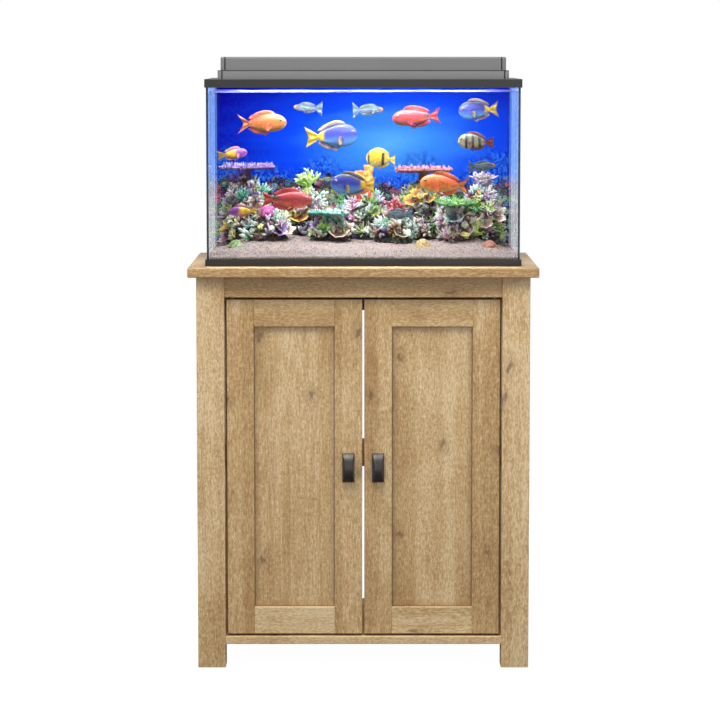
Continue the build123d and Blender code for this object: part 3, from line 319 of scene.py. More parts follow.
class Shader:
    """A procedural material, or the world, built node by node."""

    def __init__(self, name, kind="Material"):
        library = bpy.data.materials if kind == "Material" else bpy.data.worlds
        self.owner = library.new(name)
        self.owner.use_nodes = True
        self.tree = self.owner.node_tree
        self.tree.nodes.clear()
        self.output = self.tree.nodes.new("ShaderNodeOutput" + kind)

    def node(self, kind, sockets=None, **settings):
        """Add a node, set its settings, and link or fill its sockets."""
        made = self.tree.nodes.new("ShaderNode" + kind)
        for key, value in settings.items():
            setattr(made, key, value)
        for key, value in (sockets or {}).items():
            socket = made.inputs[key]
            if isinstance(value, Field):
                self.tree.links.new(value.socket, socket)
            elif socket.type == "RGBA":
                socket.default_value = (*value, 1)
            else:
                socket.default_value = value
        return made

    def fields(self, kind, sockets, outs, **settings):
        """The values of some outputs of a new node."""
        made = self.node(kind, sockets, **settings)
        return [Field(self, made.outputs[out]) for out in outs]

    def field(self, kind, sockets=None, out=0, **settings):
        """The value of one output of a new node."""
        return self.fields(kind, sockets, (out,), **settings)[0]

    @cached_property
    def place(self):
        return self.field("TexCoord", out="Object")

    @cached_property
    def normal(self):
        return self.split(self.field("TexCoord", out="Normal"))

    @cached_property
    def painted(self):
        return self.field("Attribute", out="Color", attribute_name="tint")

    def math(self, operation, a, b=0.0):
        return self.field("Math", {0: a, 1: b}, operation=operation)

    def hypot(self, a, b):
        return self.math("SQRT", a * a + b * b)

    def split(self, vector):
        return self.fields("SeparateXYZ", {0: vector}, range(3))

    def join(self, x, y, z):
        return self.field("CombineXYZ", {0: x, 1: y, 2: z})

    def scaled(self, vector, scale, shift=(0, 0, 0)):
        """A vector times a scale, plus a shift."""
        scale = scale if isinstance(scale, tuple) else (scale,) * 3
        return self.field("VectorMath", {0: vector, 1: scale, 2: shift}, operation="MULTIPLY_ADD")

    def noise(self, scale, detail=2.0, roughness=0.5, distortion=0.0, at=None):
        """Noise as fine as its scale, which is one number or one for each axis."""
        vector = self.scaled(at or self.place, scale)
        sockets = {"Vector": vector, "Scale": 1.0, "Detail": detail, "Roughness": roughness}
        return self.field("TexNoise", {**sockets, "Distortion": distortion})

    def cells(self, scale, randomness=1.0, dimensions="3D", at=None):
        """Cells as fine as their scale: how far a point is from a cell's middle, and the cell's colour."""
        sockets = {"Vector": self.scaled(at or self.place, scale), "Scale": 1.0, "Randomness": randomness}
        return self.fields("TexVoronoi", sockets, ("Distance", "Color"), voronoi_dimensions=dimensions)

    def band(self, value, low, high, start=0.0, end=1.0):
        """A smooth step from start to end as the value goes from low to high."""
        sockets = {0: value, 1: low, 2: high, 3: start, 4: end}
        return self.field("MapRange", sockets, interpolation_type="SMOOTHSTEP")

    def ramp(self, value, *stops):
        """A colour ramp through stops, each a position and screen values."""
        made = self.node("ValToRGB", {0: value})
        elements = made.color_ramp.elements
        while len(elements) < len(stops):
            elements.new(1.0)
        for element, (position, tint) in zip(elements, stops):
            element.position = position
            element.color = (*srgb(*tint), 1)
        return Field(self, made.outputs[0])

    def mix(self, share, a, b, blend="MIX"):
        return self.field("Mix", {0: share, 6: a, 7: b}, 2, data_type="RGBA", blend_type=blend)

    def between(self, share, a, b):
        """A mix of two tints given as screen values."""
        return self.mix(share, srgb(*a), srgb(*b))

    def over(self, colour, tint, share):
        """A colour with a tint, given as screen values, laid over it by a share."""
        return self.mix(share, colour, srgb(*tint))

    def grazing(self, least, power):
        """A share that is least where the surface is seen square on and grows to one at grazing angles."""
        facing = self.field("LayerWeight", {"Blend": 0.5}, "Facing")
        return self.math("MAXIMUM", self.math("POWER", facing, power), least)

    def bump(self, height, distance, strength=1.0):
        return self.field("Bump", {"Height": height, "Distance": distance, "Strength": strength})

    def principled(self, **sockets):
        return self.field("BsdfPrincipled", {key.replace("_", " "): value for key, value in sockets.items()})

    def solid(self, **sockets):
        """End as a surface that nothing shows through."""
        return self.done(self.principled(**sockets))

    def veil(self, share, surface, tint=(1, 1, 1)):
        """End as a surface that shows by a share and is clear for the rest."""
        clear = self.field("BsdfTransparent", {"Color": tint})
        return self.done(self.field("MixShader", {0: share, 1: clear, 2: surface}))

    def done(self, surface):
        self.tree.links.new(surface.socket, self.output.inputs["Surface"])
        return self.owner


# Materials


def oak(name, lie, seed, lift=0.0, upward_shade=0.0, overhang_shade=None, recess_shade=None, gap_shadow=None, gloss=BOARD_GLOSS):
    """Pale rustic oak: fine flecks over laths and warm streaks, knots, pores and ripples, and where asked
    painted shade: on upward faces, under an overhang, round a recessed panel and in the gap round a door.
    """
    s = Shader(name)
    axes = dict(zip("xyz", s.split(s.place)))
    width, thick, length = (axes[axis] for axis in LIES[lie])
    board = s.scaled(s.join(width, thick, length), 1, (seed * 0.731, seed * 0.417, seed * 1.913))
    grain = {}
    for layer, (across, along, *rest) in OAK_FIGURE.items():
        grain[layer] = s.noise((across, across, along), *rest, at=board)

    def margin(low, high):
        """How far inside a rectangle across and up the front a point lies."""
        sides = []
        for axis, start, end in zip("xz", low, high):
            sides.append(s.math("MINIMUM", axes[axis] - start, end - axes[axis]))
        return s.math("MINIMUM", *sides)

    spread = s.scaled(s.join(width, length, 0.0), (10, 6, 0), (seed * 0.37, seed * 1.1, 0))
    apart, pick = s.cells(1, 0.85, "2D", at=spread)
    apart = apart + (grain["knot_edge"] - 0.5) * 0.30
    chosen = s.band(s.split(pick)[0], 0.62, 0.64)
    halo = s.band(apart, 0.22, 0.0) * chosen
    core = s.band(apart, 0.065, 0.015) * chosen
    rings = s.math("SINE", (grain["flow"] + halo * 0.12) * 58)
    curl = s.math("SINE", (grain["curl"] + halo * 0.25) * 150) * s.band(grain["curled"], 0.40, 0.65)
    ripple = grain["saw"] * s.band(grain["sawn"], 0.40, 0.62)
    pores = s.band(grain["pores"], 0.60, 0.74) * s.band(rings, -0.8, 0.8)
    lath = s.band(grain["lath"], 0.45, 0.55)
    grain.update(rings=rings, curl=curl, ripple=ripple, lath=lath)

    tone = sum(grain[layer] * weight for layer, weight in OAK_TONE.items())
    colour = s.ramp(tone - (OAK_LEVEL - lift), *OAK_RAMP)
    colour = s.over(colour, (164, 112, 66), s.band(grain["warm"], 0.56, 0.74) * 0.44)
    colour = s.over(colour, (140, 102, 64), halo * 0.34)
    colour = s.over(colour, (122, 88, 54), pores * 0.34)
    colour = s.over(colour, (244, 220, 176), s.band(grain["rays"], 0.62, 0.74) * 0.34)
    colour = s.over(colour, (90, 66, 44), core * 0.52)
    # Painted shade: upward faces darker, where the key light falls strongly on them
    if upward_shade:
        colour = s.over(colour, (118, 92, 58), s.band(s.normal[2], 0.6, 0.9, 0.0, upward_shade))
    # Painted shadow under the overhang above: darker towards the board's top
    if overhang_shade:
        top, reach = overhang_shade
        colour = s.over(colour, PAINTED_SHADE_TINT, s.band(axes["z"], top - reach, top, 0.0, 0.45))
    # Painted shade round a door panel's recessed border: a soft dark band and a darker line at its edge
    if recess_shade:
        border = margin(*recess_shade)
        colour = s.over(colour, PAINTED_SHADE_TINT, s.band(border, 0.016, 0.0, 0.0, 0.36))
        colour = s.over(colour, (70, 52, 36), s.band(border, 0.0030, 0.0004, 0.0, 0.55))
    # Painted shadow in the gap round each door: a dark line along the door's outer edges
    if gap_shadow:
        colour = s.over(colour, (40, 31, 24), s.band(margin(*gap_shadow), 0.0022, 0.0008, 0.0, 0.85))
    return s.solid(
        Base_Color=colour,
        Roughness=s.band(grain["fibre"], 0.2, 0.8, 0.42, 0.62),
        Specular_IOR_Level=gloss,
        Normal=s.bump(grain["flecks"] * 0.35 - pores * 0.5 + ripple * 0.35, 0.0005, 0.7),
    )


def moulded(name, colour, roughness, seam_shadow=None, rim_shadow=None):
    """Moulded plastic with a fine grain, faint mottling and, where asked, painted shadow lines by the end
    caps' grooves and along the top edge under the lid.
    """
    s = Shader(name)
    x, _, z = s.split(s.place)
    speck = s.noise(1500)
    cloud = s.noise(9, 3.0)
    light = tuple(min(1.0, c * 1.14) for c in colour)
    dark = tuple(c * 0.86 for c in colour)
    tint = s.mix(speck * 0.5 + cloud * 0.5, dark, light)
    if seam_shadow:
        # Painted shadow: dark next to the groove between the end cap and its shell
        tint = s.over(tint, (30, 30, 30), s.band(s.math("ABSOLUTE", x), seam_shadow - SHARP, seam_shadow + SHARP, 1.0, 0.0))
    # Painted shadow: a dark band along the hood base's top edge, under the lid
    if rim_shadow:
        tint = s.over(tint, (34, 34, 34), s.band(z, rim_shadow - SHARP, rim_shadow + SHARP))
    rough = s.band(cloud, 0.3, 0.7, roughness - 0.05, roughness + 0.05)
    return s.solid(Base_Color=tint, Roughness=rough, Normal=s.bump(speck, 0.00012))


def metal(name, colour, roughness, brushed=(900, 900, 60), worn=0.0, metallic=1.0):
    """Metal with a brushed or cast grain and a slightly worn tone."""
    s = Shader(name)
    brush = s.noise(brushed, 3.0, 0.6)
    bright = tuple(min(1.0, c * (1.25 + worn)) for c in colour)
    return s.solid(
        Base_Color=s.mix(s.band(s.noise(60, 4.0, 0.6), 0.42, 0.75), colour, bright),
        Metallic=metallic,
        Roughness=s.band(brush, 0.2, 0.8, roughness - 0.07, roughness + 0.09),
        Normal=s.bump(brush, 0.00008, 0.6),
    )


def glass(name, tint, shine, reflection_glow=0.0):
    """Clear sheet glass with a smeared mirror towards grazing angles and, where asked, a painted reflection
    that glows there.
    """
    s = Shader(name)
    flecks = s.band(s.noise((40, 40, 150), 4.0, 0.7), 0.38, 0.62)
    height = s.band(s.split(s.place)[2] + flecks * 0.03, 0.92, 1.00)
    # Painted reflection: warm grey below and blue near the top, glowing where asked
    painted_sheen = s.between(height, (198, 192, 186), (104, 168, 255))
    gloss = s.principled(
        Base_Color=(0.9, 0.95, 0.95),
        Metallic=1.0,
        Roughness=s.band(s.noise((14, 14, 5), 4.0, 0.6), 0.35, 0.75, 0.02, 0.07),
        Emission_Color=s.over(painted_sheen, (24, 40, 120), flecks * 0.75),
        Emission_Strength=reflection_glow,
    )
    return s.veil(s.grazing(shine, 8.0), gloss, tint)


def sealant(name, cover):
    """Dark smoky silicone, more or less see-through, with a wavy smoothed skin."""
    s = Shader(name)
    wave = s.noise((160, 160, 40), 3.0)
    return s.solid(
        Base_Color=s.between(wave, (22, 24, 34), (38, 42, 56)),
        Roughness=s.band(wave, 0.3, 0.7, 0.22, 0.36),
        Alpha=cover,
        Normal=s.bump(wave, 0.0006),
    )


def water(name):
    """Water seen at its surface: clear from above, and towards grazing angles a lilac mirror with a painted,
    glowing reflection.
    """
    s = Shader(name)
    ripple = s.noise((48, 26, 26), 3.0, 0.5, 0.6)
    gloss = s.principled(
        Base_Color=srgb(60, 66, 140),
        Roughness=0.25,
        # Painted reflection: a lilac glow
        Emission_Color=s.between(s.band(ripple, 0.35, 0.65), (150, 142, 238), (200, 190, 246)),
        Specular_IOR_Level=0.2,
        Emission_Strength=0.30,
        Normal=s.bump(ripple, 0.004),
    )
    return s.veil(s.grazing(0.03, 5.0), gloss, (0.93, 0.97, 1.0))


def backdrop(name, foot):
    """Blue film, light in the middle and dark at its ends, over far shapes and a soft reef, its front glowing
    with painted light; a plain back.
    """
    s = Shader(name)
    x, _, z = s.split(s.place)
    rise = z - foot

    def waver(across, up, size):
        """Noise about zero, of about this size."""
        found = s.noise(1, 3.0, 0.62, at=s.scaled(s.place, (across, 0, up), FILM_SHIFT))
        return (found - 0.5) * size

    aside = (x - FILM_LIGHT[0]) / FILM_REACH[0]
    above = (rise - FILM_LIGHT[1]) / FILM_REACH[1]
    far = s.hypot(aside, above) * 0.71 + waver(5, 42, 0.20)
    colour = s.ramp(
        far,
        (0.00, (96, 178, 255)),
        (0.18, (62, 142, 253)),
        (0.43, (12, 74, 250)),
        (0.66, (10, 42, 208)),
        (0.82, (8, 12, 176)),
        (1.00, (5, 6, 96)),
    )
    speck = s.band(s.noise((190, 0, 190), 4.0, 0.7), 0.46, 0.62) * s.band(far, 0.46, 0.78)
    colour = s.over(colour, (8, 10, 84), speck * 0.62)

    shape = rise - FAR_REEF + (waver(11, 3, 0.22) + waver(70, 70, 0.05))
    lace = s.band(s.noise((150, 0, 110), 4.0, 0.7, 0.8), 0.44, 0.60)
    hazy = s.between(lace, (10, 36, 176), (70, 150, 248))
    colour = s.mix(s.band(shape, 0.012, -0.020, 0.0, 0.55), colour, hazy)

    bend = s.noise((60, 0, 60), 3.0)
    apart, pick = s.cells(1, at=s.scaled(s.place, (92, 0, 92), s.join(bend + 1.3, 0.0, bend + 2.1)))
    near = s.ramp(
        s.split(pick)[0],
        (0.05, (18, 18, 40)),
        (0.18, (116, 66, 128)),
        (0.30, (214, 110, 140)),
        (0.42, (60, 44, 70)),
        (0.55, (120, 190, 160)),
        (0.66, (30, 40, 66)),
        (0.78, (206, 196, 150)),
        (0.90, (90, 120, 190)),
        (0.97, (190, 200, 110)),
    )
    mottle = s.noise((430, 0, 430), 3.0, 0.7)
    dark = s.math("MAXIMUM", s.band(mottle, 0.50, 0.40), s.band(apart, 0.42, 0.72))
    near = s.over(near, (14, 16, 40), dark * 0.82)
    near = s.over(near, (236, 236, 226), s.band(mottle, 0.56, 0.66) * 0.5)
    crest = rise - NEAR_REEF + (waver(13, 0, 0.10) + waver(90, 90, 0.05))
    colour = s.mix(s.band(crest, 0.006, -0.006), colour, near)

    front = s.band(s.normal[1], -0.5, -0.4, 1.0, 0.0)
    paper = s.noise(700)
    back = s.between(paper, (20, 26, 60), (30, 38, 82))
    return s.solid(
        Base_Color=s.mix(front, back, s.over(colour, (0, 0, 0), 0.90)),
        Roughness=s.band(paper, 0.3, 0.7, 0.45, 0.60),
        Specular_IOR_Level=0.0,
        # Painted light: the film's front glows with its print's colours, though it is no lamp
        Emission_Color=s.mix(front, (0, 0, 0), colour),
        Emission_Strength=0.82,
        Normal=s.bump(paper, 0.00005),
    )


def lit_lens(name, middle):
    """Frosted lens with a soft spot of light over each chip of its two rows."""
    s = Shader(name)
    x, y, _ = s.split(s.place)
    aside = (s.math("FRACT", x / CHIP_PITCH) - 0.5) * CHIP_PITCH
    ahead = s.math("ABSOLUTE", y - middle) - CHIP_ROW
    frost = s.noise(900)
    away = s.hypot(aside, ahead) + frost * 0.002
    return s.solid(
        Base_Color=s.between(frost, (104, 112, 132), (124, 132, 152)),
        Roughness=0.4,
        Emission_Color=s.ramp(
            away / (CHIP_PITCH / 2),
            (0.10, (252, 253, 255)),
            (0.35, (214, 226, 255)),
            (0.90, (120, 142, 200)),
        ),
        Emission_Strength=0.9,
        Normal=s.bump(frost, 0.0001),
    )


def living(name, size, depth, roughness=0.55, pits=False, wet=0.25):
    """Coral, rock or fish skin: its painted tint, broken up by fine spots and a bumpy relief, with painted
    shade in the relief's hollows.
    """
    s = Shader(name)
    knobs, _ = s.cells(size)
    grit = s.noise(size * 2.3, 3.0, 0.6)
    cloud = s.noise(size * 0.16, 3.0)
    shade = s.mix(s.band(cloud, 0.3, 0.7), (0.72, 0.70, 0.74), (1.15, 1.12, 1.10))
    # Painted shade: darker in the hollows of the relief
    hollow = s.band(knobs, 0.45, 0.15) if pits else s.band(knobs, 0.25, 0.75)
    return s.solid(
        Base_Color=s.mix(hollow * 0.45, s.mix(1.0, s.painted, shade, "MULTIPLY"), (0.04, 0.03, 0.05)),
        Roughness=s.band(grit, 0.3, 0.7, roughness - 0.1, roughness + 0.12),
        Coat_Weight=wet,
        Coat_Roughness=0.25,
        Normal=s.bump(grit * 0.5 - hollow, depth),
    )


def gravel_skin(name):
    """Small mixed grains in pink, sand and grey."""
    s = Shader(name)
    apart, pick = s.cells(520)
    pick = s.split(pick)[0]
    colour = s.ramp(
        pick,
        (0.05, (114, 96, 90)),
        (0.28, (146, 125, 116)),
        (0.50, (158, 137, 127)),
        (0.74, (142, 123, 122)),
        (0.95, (176, 156, 144)),
    )
    # Painted shade: darker between the grains, where the relief sinks
    edge = s.band(apart, 0.30, 0.75)
    return s.solid(
        Base_Color=s.over(colour, (92, 76, 72), edge * 0.35),
        Roughness=s.band(pick, 0, 1, 0.5, 0.75),
        Normal=s.bump(1.0 - edge, 0.0012),
    )


def pebble_skin(name):
    """Single grains: their painted tint with a fine grit."""
    s = Shader(name)
    grit = s.noise(1600)
    colour = s.over(s.painted, (92, 74, 68), s.band(grit, 0.35, 0.7) * 0.3)
    return s.solid(Base_Color=colour, Roughness=0.6, Normal=s.bump(grit, 0.0002))


def floor_paint(name):
    """A pale floor with a faint cloud in its tone, which fades out far from the part."""
    s = Shader(name)
    x, y, _ = s.split(s.place)
    seen = s.field("LightPath", out="Is Camera Ray")
    solid = s.principled(
        Base_Color=s.mix(s.noise(0.8, 3.0), (0.15, 0.15, 0.15), (0.17, 0.17, 0.17)),
        Roughness=0.8,
        Specular_IOR_Level=0.1,
        Emission_Color=(1, 1, 1),
        Emission_Strength=seen * FLOOR_GLOW,
    )
    return s.veil(s.band(s.hypot(x, y), *FLOOR_FADE, 1.0, 0.0), solid)


def studio_world(name):
    """A white surround, seen as white itself and in mirrors, that lights the scene softly."""
    s = Shader(name, "World")
    shown = s.field("Background", {"Color": (1, 1, 1), "Strength": 1.0})
    light = s.field("Background", {"Color": (1.0, 0.99, 0.98), "Strength": AMBIENT})
    seen = s.math("MAXIMUM", *s.fields("LightPath", {}, ("Is Camera Ray", "Is Glossy Ray")))
    return s.done(s.field("MixShader", {0: seen, 1: light, 2: shown}))


# Looks of the stand, the frames, the hood and the panes


def dress(material, *names):
    """Give CAD nodes a material in place of their plain one."""
    for name in names:
        node = nodes[name]
        node.data.materials.clear()
        node.data.materials.append(material)


def door_outline(hand):
    """The lowest and highest corners of a door across and up the front, open towards the other door."""
    low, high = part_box(f"{hand}_outer_stile")
    away = DOOR_REACH if hand == "left" else -DOOR_REACH
    return (min(low.x, low.x + away), low.z), (max(high.x, high.x + away), high.z)


def panel_outline(hand):
    """The lowest and highest corners of what shows of a door's panel between its stiles and rails."""
    stiles = [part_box(f"{hand}_{side}_stile") for side in ("outer", "inner")]
    left, right = sorted(stiles, key=lambda box: box[0].x)
    low = (left[1].x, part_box(f"{hand}_bottom_rail")[1].z)
    return low, (right[0].x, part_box(f"{hand}_top_rail")[0].z)


boards = [(f"{hand}_{end}_leg", "front") for hand in HANDS for end in ("front", "rear")]
boards += [(f"{hand}_side_panel", "side") for hand in HANDS]
boards += [(f"{hand}_{side}_stile", "front") for hand in HANDS for side in ("outer", "inner")]
boards += [(f"{hand}_{end}_rail", "level") for hand in HANDS for end in ("top", "bottom")]
boards += [("front_apron", "level"), ("rear_stretcher", "level")]
boards += [(name, "flat") for name in ("top_board", "bottom_panel", "middle_shelf")]
for number, (name, lie) in enumerate(boards):
    hand, *_, kind = name.split("_")
    overhang_shade = (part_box(name)[1].z, OVERHANG_SHADE_DEPTHS[kind]) if kind in OVERHANG_SHADE_DEPTHS and "bottom" not in name else None
    # Bottom boards paler by painted light; the apron and top board darker in part by painted shade
    lift = BOTTOM_PAINTED_LIGHT if "bottom" in name else LIFTS.get(kind, 0.0)
    upward_shade = UPWARD_SHADE if name == "top_board" else 0.0
    gloss = 0.0 if name in INNER_BOARDS else BOARD_GLOSS
    gap_shadow = door_outline(hand) if kind in ("stile", "rail") else None
    dress(oak(f"oak_{name}", lie, FIRST_BOARD + number, lift, upward_shade, overhang_shade, None, gap_shadow, gloss), name)
for number, hand in enumerate(HANDS):
    name = f"{hand}_door_panel"
    dress(oak(f"oak_{name}", "front", FIRST_PANEL + number, PANEL_LIFT, recess_shade=panel_outline(hand)), name)

deck_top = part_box("hood_base_end_caps")[1].z
rim_shadow = deck_top - RIM_SHADOW_DEPTH
lid_seam_shadow, base_seam_shadow = (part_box(shell)[1].x + SEAM_SHADOW for shell in ("hood_lid", "hood_base"))
dress(moulded("top_frame_plastic", FRAME_GREY, 0.42), "tank_top_frame")
dress(moulded("base_frame_plastic", FOOT_GREY, 0.42), "tank_base_frame")
dress(moulded("hood_lid_plastic", HOOD_GREY, 0.5), "hood_lid")
dress(moulded("hood_base_plastic", BASE_GREY, 0.5, rim_shadow=rim_shadow), "hood_base")
dress(moulded("hood_lid_cap_plastic", HOOD_GREY, 0.5, seam_shadow=lid_seam_shadow), "hood_lid_end_caps")
dress(moulded("hood_base_cap_plastic", BASE_GREY, 0.5, seam_shadow=base_seam_shadow, rim_shadow=rim_shadow), "hood_base_end_caps")
dress(moulded("catch_plastic", srgb(58, 50, 42), 0.45), "magnetic_catch")
dress(moulded("switch_plastic", srgb(34, 34, 35), 0.35), "switch_housing", "light_switch", "power_inlet")
dress(moulded("nylon", srgb(62, 52, 42), 0.45), "pivot_bushes")
dress(moulded("circuit_board", srgb(236, 238, 236), 0.4), "led_board")
dress(sealant("silicone", 0.12), "silicone_seams")
silicone_black = sealant("silicone_black", 1.0)
bronze = metal("bronze", srgb(66, 62, 58), 0.36, worn=0.5, metallic=0.7)
zinc = metal("zinc_plate", srgb(176, 178, 178), 0.32)
dress(zinc, "foot_glides", "cam_fittings", "shelf_pins", "hood_hinge_pins")
for hand in HANDS:
    dress(bronze, f"{hand}_door_handle")
    dress(zinc, f"{hand}_handle_screws", f"{hand}_strike_plate", f"{hand}_pivot_pins")
dress(metal("ferrite", srgb(66, 64, 64), 0.6, 300, metallic=0.5), "catch_magnets")
dress(glass("tank_glass", (0.975, 0.99, 0.985), 0.001), "front_glass", "rear_glass")
dress(glass("side_glass", (0.965, 0.985, 0.98), 0.02, 0.95), "left_glass", "right_glass", "bottom_glass")
dress(backdrop("background_film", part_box("background_sheet")[0].z), "background_sheet")
lens_low, lens_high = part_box("led_lens")
lens_middle = (lens_low + lens_high) / 2
dress(lit_lens("lens", lens_middle.y), "led_lens")


# Mesh building


def line(x, y, z):
    """Points from coordinates, each of them a number or an array."""
    return np.stack(np.broadcast_arrays(x, y, z), -1)


def circle(sides):
    return np.linspace(0, 2 * pi, sides, endpoint=False)


def unit(vectors):
    return np.asarray(vectors, float) / (np.linalg.norm(vectors, axis=-1, keepdims=True) + 1e-9)


def tube(path, radii, sides=6):
    """Rings of a round tube along a path."""
    path = np.asarray(path, float)
    heading = unit(np.gradient(path, axis=0))
    aside = np.array((1.0, 0.2, 0.0)) if abs(heading[:, 2].mean()) > 0.8 else np.array((0.0, 0.1, 1.0))
    u = unit(np.cross(heading, aside))
    v = np.cross(heading, u)
    turn = circle(sides)
    round_u = u[:, None] * np.cos(turn)[None, :, None]
    round_v = v[:, None] * np.sin(turn)[None, :, None]
    return path[:, None] + np.asarray(radii, float)[:, None, None] * (round_u + round_v)


def blob(centre, radii, rows=7, sides=10):
    """Rings of a rounded lump."""
    turn = circle(sides)
    tilt = np.linspace(0.02, pi - 0.02, rows)[:, None]
    shape = line(np.sin(tilt) * np.cos(turn), np.sin(tilt) * np.sin(turn), -np.cos(tilt))
    return np.asarray(centre) + shape * np.asarray(radii)


def linked(name, data):
    """A new object in the scene."""
    made = bpy.data.objects.new(name, data)
    bpy.context.scene.collection.objects.link(made)
    return made


class Growth:
    """Gathers closed skins with painted tints and makes one piece of them."""

    def __init__(self):
        self.points, self.faces, self.tints, self.total = [], [], [], 0

    def add(self, rings, tint, loop=False):
        """Quads round a stack of closed rings, which loops back or has a cap at both ends."""
        rings = np.asarray(rings, float)
        count, sides = rings.shape[:2]
        index = np.arange(count * sides).reshape(count, sides) + self.total
        low = index if loop else index[:-1]
        high = np.roll(index, -1, 0) if loop else index[1:]
        quads = np.stack([low, np.roll(low, -1, 1), np.roll(high, -1, 1), high], -1)
        self.faces += quads.reshape(-1, 4).tolist()
        if not loop:
            self.faces += [index[0][::-1].tolist(), index[-1].tolist()]
        self.take(rings.reshape(-1, 3), np.broadcast_to(tint, rings.shape).reshape(-1, 3))

    def take(self, points, tints):
        self.points.append(points)
        self.tints.append(tints)
        self.total += len(points)

    def mesh(self, points, faces, tints):
        """Take a whole mesh as it is."""
        self.faces += [[i + self.total for i in face] for face in faces]
        self.take(np.asarray(points), np.asarray(tints))

    def piece(self, name, material, slot=None):
        mesh = bpy.data.meshes.new(name)
        mesh.from_pydata(np.concatenate(self.points).tolist(), [], self.faces)
        colours = mesh.attributes.new("tint", "FLOAT_COLOR", "POINT")
        tints = np.concatenate(self.tints)
        colours.data.foreach_set("color", np.c_[tints, np.ones(len(tints))].astype(np.float32).ravel())
        skin = bmesh.new()
        skin.from_mesh(mesh)
        bmesh.ops.recalc_face_normals(skin, faces=skin.faces)
        skin.to_mesh(mesh)
        skin.free()
        mesh.polygons.foreach_set("use_smooth", np.ones(len(mesh.polygons), bool))
        mesh.materials.append(material)
        made = linked(name, mesh)
        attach(made, "cabinet")
        return made


def remade(node, voxel, rounds):
    """An even skin over a CAD node, smoothed in rounds: its points, their normals and its faces."""
    copy = linked(f"{node}_copy", nodes[node].data.copy())
    remesh = copy.modifiers.new("even", "REMESH")
    remesh.mode = "VOXEL"
    remesh.voxel_size = voxel
    soft = copy.modifiers.new("soft", "SMOOTH")
    soft.iterations = rounds
    skin = bpy.data.meshes.new_from_object(copy.evaluated_get(bpy.context.evaluated_depsgraph_get()))
    points = np.array([v.co for v in skin.vertices])
    normals = np.array([v.normal for v in skin.vertices])
    faces = [list(p.vertices) for p in skin.polygons]
    bpy.data.objects.remove(copy)
    return points, normals, faces


def crag(points, size, seed, octaves=4):
    """Fractal noise at each point, about -1 to 1."""
    shift = Vector((seed, seed * 1.7, seed * 0.3))
    return np.array([noise.fractal(Vector(p) / size + shift, 1.0, 2.1, octaves) for p in points])


def blend(a, b, share):
    """From one tint to another by a share for each point."""
    share = np.clip(np.asarray(share, float), 0, 1)[..., None]
    return np.asarray(a) * (1 - share) + np.asarray(b) * share


def step(value, low, high):
    """A smooth step from 0 to 1."""
    t = np.clip((value - low) / (high - low), 0, 1)
    return t * t * (3 - 2 * t)


def solids(node):
    """The lowest and highest corners of each separate solid of a CAD node, from left to right."""
    mesh = nodes[node].data
    places = np.array([v.co for v in mesh.vertices])
    same = np.unique(np.round(places, 5), axis=0, return_inverse=True)[1].ravel()
    group = np.arange(same.max() + 1)
    edges = same[np.array([e.vertices for e in mesh.edges])]
    changed = True
    while changed:
        least = np.minimum(group[edges[:, 0]], group[edges[:, 1]])
        before = group.copy()
        np.minimum.at(group, edges[:, 0], least)
        np.minimum.at(group, edges[:, 1], least)
        group = group[group]
        changed = not np.array_equal(before, group)
    of_point = group[same]
    boxes = [(places[of_point == g].min(0), places[of_point == g].max(0)) for g in np.unique(of_point)]
    return sorted(boxes, key=lambda box: box[0][0] + box[1][0])


# Reef: rocks and corals in place of their plain solids

tank_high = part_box("bottom_glass")[1]
pane_x = tank_high.x - PANE_GAP
pane_y = tank_high.y - PANE_GAP
floor_z = tank_high.z
brain_boxes = solids("brain_corals")
table_boxes = solids("table_corals")


def bank(x, y):
    """Height of the gravel at a place: the lower of its crest and its slope, softly joined."""
    along = (np.clip(x / pane_x, -1, 1) + 1) / 2 * (len(CREST) - 1)
    left = np.clip(along.astype(int), 0, len(CREST) - 2)
    share = (1 - np.cos(pi * (along - left))) / 2
    crest = CREST[left] * (1 - share) + CREST[left + 1] * share
    slope = np.interp(y / pane_y, (-1, SLOPE_TOP), SLOPE)
    return floor_z - np.log(np.exp(-BANK_SOFT * crest) + np.exp(-BANK_SOFT * slope)) / BANK_SOFT


def inside(points):
    """Points kept between the panes and above the bottom pane."""
    low = (-pane_x, -pane_y, floor_z + PANE_GAP)
    return np.clip(points, low, (pane_x, pane_y, WATER_LEVEL))


def skinned(node, name, voxel, rounds, shape, paint, material, slot):
    """Replace a CAD node by an even skin over it, smoothed, pushed along its normals and painted."""
    points, normals, faces = remade(node, voxel, rounds)
    push = shape(points, normals)
    moved = inside(points + normals * push[:, None])
    growth = Growth()
    growth.mesh(moved, faces, paint(points, normals, push))
    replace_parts(growth.piece(name, material, slot), node)
    return moved, normals


def nearest(points, boxes):
    """The place in a list of boxes of the one nearest to each point."""
    middles = np.array([(low + high) / 2 for low, high in boxes])
    return np.linalg.norm(points[:, None, :2] - middles[None, :, :2], axis=2).argmin(1)


def pair_of(pairs, which):
    """The two tints of each point, by the number of its solid."""
    return np.moveaxis(np.array(pairs)[which % len(pairs)], -2, 0)


def rock_shape(points, normals):
    broad = crag(points, 0.034, 1.3, 3)
    sharp = np.abs(crag(points, 0.016, 4.1, 4))
    return ROCK_CRAG * (0.9 * broad + 1.1 * sharp - 0.5)


